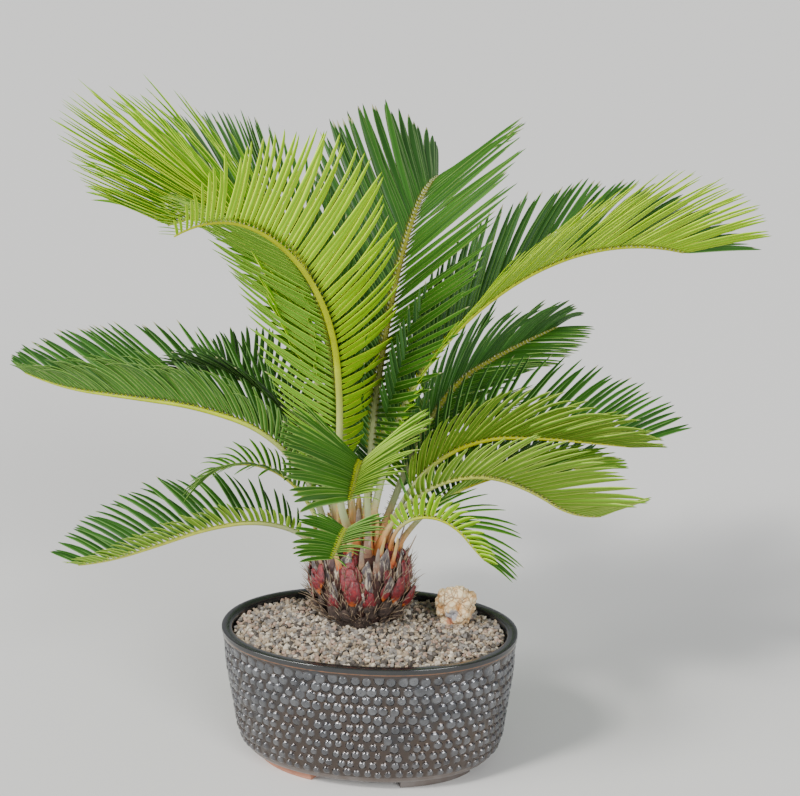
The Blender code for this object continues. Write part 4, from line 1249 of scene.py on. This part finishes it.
def at(path: dict[str, np.ndarray], share: np.ndarray) -> tuple[np.ndarray, ...]:
    """Points, along, normal and side of a walked rachis at shares of its length."""
    found = []
    for key in ("points", "along", "normal", "side"):
        columns = [np.interp(share, path["share"], path[key][:, k]) for k in range(3)]
        found.append(np.column_stack(columns))
    points, *directions = found
    return points, *(unit(direction) for direction in directions)


LIME, SPRING, FRESH, OLIVE = LeafTone.LIME, LeafTone.SPRING, LeafTone.FRESH, LeafTone.OLIVE
PALE, DEEP, SHADE = LeafTone.PALE, LeafTone.DEEP, LeafTone.SHADE
MOSS = LeafTone.MOSS

# Each row's tone is partly the leaflets' own colour and partly painted light and shade: rows facing the light take the
# lighter tones, while rows turned away from the light and rows behind others take DEEP and SHADE. Their rachises follow
# the same rule.
FRONDS = (
    Frond("frond_front_tall", 265, 0.020, 0.223, 239, (55, 96, 84, 54, 25, -17), 0.489, 72, -63, 0.16, LIME,
          Row(0.125, 60, 0.85, -0.02, 0.10, FRESH, 0.60, 0.05, width=0.60),
          Row(0.143, 33, 1.29, -0.04, 0.10, LIME, 0.67, 0.06, width=0.86)),
    Frond("frond_left_tall", 170, 0.024, 0.219, 135.6, (75, 78, 74, 16, -10, -18), 0.571, -37, -8, 0.30, SPRING,
          Row(0.216, 11, 1.13, 0.18, 0.54, SPRING, 0.30, 0.0, width=0.85),
          Row(0.216, 11, 0.84, -0.06, 0.40, LIME, 1.0, 0.0, 45, 0.8)),
    Frond("frond_centre_tall", 65, 0.011, 0.228, 82, (84, 74, 62, 51, 35, 4), 0.445, -14, 25, 0.18, DEEP,
          Row(0.172, 51, 1.2, 0.08, 0.67, MOSS, width=0.85), Row(0.185, 74, 0.6, 0.0, 0.56, DEEP, curl=0.0, width=1.4)),
    Frond("frond_right_tall", 335, 0.011, 0.228, 39, (77, 71, 41, 22, 2, -16), 0.540, 15, -25, 0.20, LIME,
          Row(0.160, 53, 1.2, 0.0, 0.6, LIME, curl=0.03, turn=-16, width=0.86),
          Row(0.124, 26, 0.5, 0.0, 0.95, DEEP)),
    Frond("frond_right_mid", 8, 0.025, 0.218, 11, (72, 57, 28, -1, -6, -7), 0.308, -14, 25, 0.20, OLIVE,
          Row(0.096, 26, 0.5, 0.0, 0.35, OLIVE, curl=0.10, turn=-10, width=0.9), Row(0.118, 49, 0.9, 0.0, 0.55, DEEP)),
    Frond("frond_right_rear", 45, 0.025, 0.218, 60, (58, 55, 37, 10, 7, 5), 0.380, 15, 25, 0.20, DEEP,
          Row(0.082, 56, 0.85, 0.12, 0.6, MOSS), Row(0.118, 26, 0.5, 0.20, 0.45, DEEP, width=0.8)),
    Frond("frond_back_tall", 118, 0.022, 0.220, 133, (78, 78, 68, 26, 6, 6), 0.535, -15, -25, 0.20, SPRING,
          Row(0.130, 26, 0.8, 0.0, 0.95, DEEP), Row(0.105, 50, tone=FRESH)),
    Frond("frond_left_rear", 150, 0.028, 0.214, 158, (72, 68, 54, 26, 2, -16), 0.290, 0, 0, 0.25, SHADE,
          Row(0.085, 50, tone=SHADE), Row(0.080, 50, tone=SHADE, turn=50)),
    Frond("frond_left_mid", 188, 0.034, 0.208, 168, (87, 53, 13, 1, 1, 17), 0.438, 6, -4, 0.14, SPRING,
          Row(0.155, 41, 0.5, 0.0, 0.15, DEEP), Row(0.102, 32, 1.1, 0.18, 0.20, MOSS, curl=0.12, turn=0)),
    Frond("frond_front_mid", 300, 0.024, 0.219, 277, (90, 70, 33, 7, 2, 0), 0.290, 0, 0, 0.30, SPRING,
          Row(0.115, 49, 0.8, 0.0, 0.95, MOSS, turn=-30), Row(0.102, 48, 1.1, 0.08, 0.60, FRESH, turn=50)),
    Frond("frond_right_low", 325, 0.026, 0.218, 18, (67, 43, 10, -22, -36, 2), 0.276, 6, -25, 0.20, PALE,
          Row(0.117, 55, 1.1, 0.0, 0.45, PALE, turn=-15, width=1.1), Row(0.090, 45, 1.0, 0.10, 0.60, MOSS)),
    Frond("frond_right_under", 28, 0.038, 0.203, 35, (56, 34, 14, 2, -6, -12), 0.260, 0, 0, 0.20, OLIVE,
          Row(0.090, 50, tone=FRESH, turn=-30), Row(0.090, 50, tone=DEEP)),
    Frond("frond_back_right", 70, 0.038, 0.203, 68, (64, 42, 20, 2, -8, -12), 0.300, 0, 0, 0.20, DEEP,
          Row(0.100, 50, tone=DEEP), Row(0.100, 50, tone=FRESH)),
    Frond("frond_back_low", 100, 0.038, 0.203, 92, (56, 34, 12, 0, -8, -14), 0.300, 0, 0, 0.20, OLIVE,
          Row(0.100, 50, tone=FRESH), Row(0.100, 50, tone=DEEP)),
    Frond("frond_back_left", 130, 0.038, 0.203, 122, (60, 40, 16, 0, -10, -16), 0.290, 0, 0, 0.20, DEEP,
          Row(0.100, 50, tone=DEEP), Row(0.100, 50, tone=DEEP)),
    Frond("frond_left_under", 222, 0.037, 0.205, 191, (78, 70, 56, 28, -6, -44), 0.190, 0, 0, 0.30, PALE,
          Row(0.052, 60, 1.0, 0.35, tone=MOSS), Row(0.058, 60, 1.0, 0.35, tone=MOSS, turn=-20)),
    Frond("frond_left_low", 205, 0.038, 0.200, 198, (65, 22, -6, -18, -16, -3), 0.273, 10, -14, 0.15, PALE,
          Row(0.092, 46, 1.05, 0.06, 0.35, DEEP), Row(0.037, 30, 1.05, 0.0, 0.5, PALE, curl=0.12, width=1.25)),
    Frond("frond_front_small", 262, 0.030, 0.216, 273, (83, 45, 8, 0, 0, 2), 0.138, 0, 0, 0.20, SPRING,
          Row(0.056, 56, 1.0, 0.10, 0.95, MOSS, turn=-32), Row(0.063, 58, 1.1, 0.14, 0.60, MOSS, turn=50)),
    Frond("frond_right_small", 345, 0.034, 0.214, 344, (85, 48, 15, -18, -47, -40), 0.14, -11, -12, 0.15,
          LIME, Row(0.035, 31, 1.1, 0.0, 0.40, SPRING, curl=0.10, width=1.35), Row(0.074, 49, 0.8, 0.20, 0.40, MOSS, turn=0)),
)


@dataclass
class Crown:
    """All the fronds: rachises, leaflets, and the thorns and cushions on the rachises."""

    pitch: float = 0.0058
    leaf_width: float = 0.0058
    full_leaf: float = 0.09
    radii: tuple = (0.0042, 0.0036, 0.0031, 0.0022, 0.0009)
    full_frond: float = 0.42
    steps: int = 60
    forward: float = 0.10
    thorn_pitch: float = 0.007
    thorn_length: float = 0.0045
    spread: tuple = ((0.0, 0.25, 0.6, 0.85, 1.0), (80.0, 68.0, 58.0, 48.0, 30.0))
    seed: int = 21

    def radius(self, frond: Frond, share: np.ndarray) -> np.ndarray:
        """The rachis's radius at shares of its length, less on a short frond."""
        radius = np.interp(share, np.linspace(0, 1, len(self.radii)), self.radii)
        return radius * min(1.0, math.sqrt(frond.length / self.full_frond))

    def leaflet_shape(self) -> bpy.types.Object:
        """A narrow leaflet with a groove above and a keel below."""
        outline = [(-0.5, -0.10), (-0.27, 0.05), (0.0, -0.01), (0.27, 0.05), (0.5, -0.10), (0.0, -0.14)]
        stations = [(0.0, 0.40, 0.0), (0.03, 0.55, 0.0), (0.10, 0.86, 0.0), (0.24, 1.0, 0.0),
                    (0.42, 1.0, 0.0), (0.60, 0.96, 0.0), (0.76, 0.84, 0.0), (0.88, 0.62, 0.0),
                    (0.96, 0.32, 0.0), (1.0, 0.0, 0.0)]
        return small_shape("leaflet_shape", stations, outline, (1.0, 0.0, -1.0, 0.0, 1.0, -1.0), (4, 5))

    def build_rachis(self, frond: Frond, path: dict[str, np.ndarray]) -> bpy.types.Object:
        """The rachis: a tapered rod, broader at its foot and flatter above."""
        share = path["share"]
        radius = self.radius(frond, share) * (1.0 + 0.45 * np.exp(-share * frond.length / 0.015))
        turns = np.linspace(0, 2 * math.pi, 10, endpoint=False)
        centres = path["points"].copy()
        centres[0] -= path["along"][0] * 0.010
        ring = (np.cos(turns)[None, :, None] * path["side"][:, None]
                + np.sin(turns)[None, :, None] * path["normal"][:, None] * 0.85)
        points = centres[:, None] + ring * radius[:, None, None]
        rachis = mesh_object(frond.name + "_rachis", points.reshape(-1, 3), tube_faces(len(share), len(turns)))
        point_outwards(rachis)
        set_attribute(rachis, "reach", np.repeat(share, len(turns)))
        crown = np.clip(1.0 - share * frond.length / 0.060, 0.0, 1.0)
        set_attribute(rachis, "crown", np.repeat(crown, len(turns)))
        rachis.data.materials.append(frond.rachis.rachis().build())
        return rachis

    def leaf_row(self, frond: Frond, path: dict[str, np.ndarray], row: Row, sign: int,
                 rng: np.random.Generator) -> dict[str, np.ndarray]:
        """Roots, directions and sizes of the leaflets on one side.

        Args:
            frond: The frond.
            path: Its walked rachis.
            row: The side's leaflets.
            sign: 1 for the right side, -1 for the left.
            rng: The source of their unevenness.

        Returns:
            Root, ray, across, size, lean, hook and row of each leaflet.
        """
        count = round(frond.length * (1 - frond.bare) / self.pitch)
        place = np.clip((np.arange(count) + 0.5 + rng.uniform(-0.10, 0.10, count)) / count, 0, 1)
        share = frond.bare + (1 - frond.bare) * place
        points, along, normal, side = at(path, share)
        profile = np.interp(place, *self.spread) * (1 - row.even) + self.spread[1][0] * row.even
        spread = np.radians(profile * row.sweep + rng.normal(0, 1.3, count))[:, None]
        vee = np.radians(row.vee + rng.normal(0, 1.6, count))[:, None]
        out = normal * np.cos(vee) + side * (sign * np.sin(vee))
        ray = along * np.cos(spread) + out * np.sin(spread)
        length = row.lengths(place) * (1.0 - np.abs(rng.normal(0, 0.035, count)))
        across = unit(along - ray * np.sum(along * ray, axis=1, keepdims=True)) * sign
        tilt = np.radians(row.turn + rng.normal(0, 6.0, count))[:, None] * sign
        across = across * np.cos(tilt) + np.cross(ray, across) * np.sin(tilt)
        width = self.leaf_width * np.minimum(1.0, (1 + length / self.full_leaf) / 2)
        width *= row.width * rng.uniform(0.88, 1.08, count)
        bend = along * self.forward - np.array([0.0, 0.0, 1.0]) * row.droop
        lean = bend * (length * rng.uniform(0.6, 1.4, count))[:, None]
        root = points + out * (self.radius(frond, share) * 0.6)[:, None]
        curl = rng.uniform(0.0, 2.0, count) * row.curl * length
        hook = (along * 0.7 - ray * 0.35 - np.array([0.0, 0.0, 0.6])) * curl[:, None]
        return {"root": root, "ray": ray, "across": across, "size": np.column_stack([width, width, length]),
                "lean": lean, "hook": hook, "row": np.full(count, float(sign < 0))}

    def spine_rows(self, frond: Frond, path: dict[str, np.ndarray], leaves: dict[str, np.ndarray]
                   ) -> dict[str, np.ndarray]:
        """The thorns along the bare stalk's two edges, and a cushion under every leaflet."""
        share = np.arange(0.022, frond.length * frond.bare, self.thorn_pitch) / frond.length
        points, along, normal, side = at(path, share)
        radius = self.radius(frond, share)[:, None] * 0.8
        roots, rays, sizes = [leaves["root"]], [leaves["ray"]], [np.full((len(leaves["ray"]), 3), 0.0)]
        sizes[0][:] = np.array([0.50, 0.50, 1.0]) * leaves["size"][:, :1]
        for sign in (1, -1):
            roots.append(points + side * sign * radius)
            rays.append(unit(side * sign * 0.9 + normal * 0.3 + along * 0.25))
            sizes.append(np.tile((0.0012, 0.0012, self.thorn_length), (len(share), 1)))
        ray = np.vstack(rays)
        across = np.vstack([leaves["across"], along, along])
        return {"root": np.vstack(roots), "ray": ray, "across": across, "size": np.vstack(sizes),
                "lean": ray * 0.0}

    def build(self) -> None:
        """Grow every frond."""
        rng = np.random.default_rng(self.seed)
        leaflet = self.leaflet_shape()
        thorn = small_shape("thorn_shape", [(0.0, 1.0, 0.0), (0.5, 0.6, 0.0), (1.0, 0.0, 0.0)],
                            [(-0.5, 0.0), (0.0, 0.5), (0.5, 0.0), (0.0, -0.5)])
        slots = {part["node"]: part["material_slot"] for part in frame["record"]["subparts"]}
        for number, frond in enumerate(FRONDS):
            nodes = [n for n in sorted(frame["nodes"]) if n.startswith(frond.name)]
            slot = slots[nodes[0]]
            path = frond.walk(self.steps)
            finish_piece(self.build_rachis(frond, path), slot, *nodes)
            sides = [self.leaf_row(frond, path, row, sign, rng)
                     for row, sign in ((frond.right, 1), (frond.left, -1))]
            leaves = {key: np.concatenate([side[key] for side in sides]) for key in sides[0]}
            piece = ROWS.grow(frond.name + "_leaflets", leaves, leaflet, frond.right.tone.leaf(),
                              frond.left.tone.leaf(), seed=number)
            finish_piece(piece, slot, *nodes)
            spines = self.spine_rows(frond, path, leaves)
            finish_piece(ROWS.grow(frond.name + "_thorns", spines, thorn, frond.rachis.rachis()), slot)


@dataclass
class Studio:
    """The plain pale floor, soft light and the camera at the photograph's viewing angle."""

    camera: tuple = (0.3036, -1.5376, 0.827)
    azimuth: float = 10.0
    pitch: float = 15.8
    focal_pixels: float = 1650.0
    image_width: int = 800
    sensor: float = 36.0
    floor_radius: float = 60.0
    floor_colour: Colour = (0.78, 0.77, 0.75)

    def build_floor(self) -> None:
        """A wide pale disc at the feet's level."""
        bm = bmesh.new()
        bmesh.ops.create_circle(bm, cap_ends=True, segments=96, radius=self.floor_radius)
        bmesh.ops.translate(bm, verts=bm.verts, vec=(0, 0, CAD_BOUNDS[0].z))
        mesh = bpy.data.meshes.new("studio_floor")
        bm.to_mesh(mesh)
        bm.free()
        floor = new_object("studio_floor", mesh)
        material = bpy.data.materials.new("studio_floor")
        material.use_nodes = True
        surface = material.node_tree.nodes["Principled BSDF"]
        surface.inputs["Base Color"].default_value = rgba(self.floor_colour)
        surface.inputs["Roughness"].default_value = 0.75
        mesh.materials.append(material)

    def add_light(self, name: str, side: tuple, strength: float, spread: float, colour: Colour) -> None:
        """A wide soft lamp, far enough away to light the whole floor evenly.

        Args:
            name: The lamp's name.
            side: The direction it shines from.
            strength: Its strength.
            spread: How wide it looks from the plant, in degrees.
            colour: Its colour.
        """
        data = bpy.data.lights.new(name, "SUN")
        data.energy, data.angle, data.color = strength, math.radians(spread), colour
        light = bpy.data.objects.new(name, data)
        bpy.context.scene.collection.objects.link(light)
        light.location = HOME + Vector(side)
        light.rotation_euler = (-Vector(side)).to_track_quat("-Z", "Y").to_euler()

    def build_lights(self) -> None:
        """A key lamp at the left, a broad soft one at each side in front, and a pale world."""
        self.add_light("key_left", (-1.3, -1.5, 1.9), 2.2, 11.0, (1.0, 0.985, 0.95))
        self.add_light("window_left", (-0.83, -0.56, 0.42), 1.9, 30.0, (1.0, 1.0, 1.0))
        self.add_light("window_right", (0.60, -0.80, 0.42), 2.3, 30.0, (0.97, 0.985, 1.0))
        world = bpy.data.worlds.new("studio")
        bpy.context.scene.world = world
        world.use_nodes = True
        sky = world.node_tree.nodes["Background"]
        sky.inputs["Color"].default_value = (0.90, 0.93, 0.96, 1.0)
        sky.inputs["Strength"].default_value = 0.45

    def build_camera(self) -> None:
        """The camera where the photograph was taken from."""
        data = bpy.data.cameras.new("photo_camera")
        data.sensor_width = self.sensor
        data.sensor_fit = "HORIZONTAL"
        data.lens = self.focal_pixels * self.sensor / self.image_width
        data.clip_end = 200.0
        camera = bpy.data.objects.new("photo_camera", data)
        bpy.context.scene.collection.objects.link(camera)
        camera.location = HOME + Vector(self.camera)
        camera.rotation_euler = (math.radians(90.0 - self.pitch), 0.0, math.radians(self.azimuth))
        bpy.context.scene.camera = camera

    def build(self) -> None:
        """Set the studio up."""
        self.build_floor()
        self.build_lights()
        self.build_camera()


def remove_shapes() -> None:
    """Take the hidden template shapes out of the scene."""
    for shape in [o for o in bpy.data.objects if o.type == "MESH" and o.name.endswith("_shape")]:
        bpy.data.objects.remove(shape, do_unlink=True)


def main() -> None:
    """Build every sub-assembly in order."""
    logging.basicConfig(level=logging.INFO, format="%(name)s %(message)s")
    Studio().build()
    pot = Pot()
    for part in (pot, Grit(pot), AccentStone(), Caudex(), Crown()):
        part.build()
    remove_shapes()


if __name__ == "__main__":
    main()
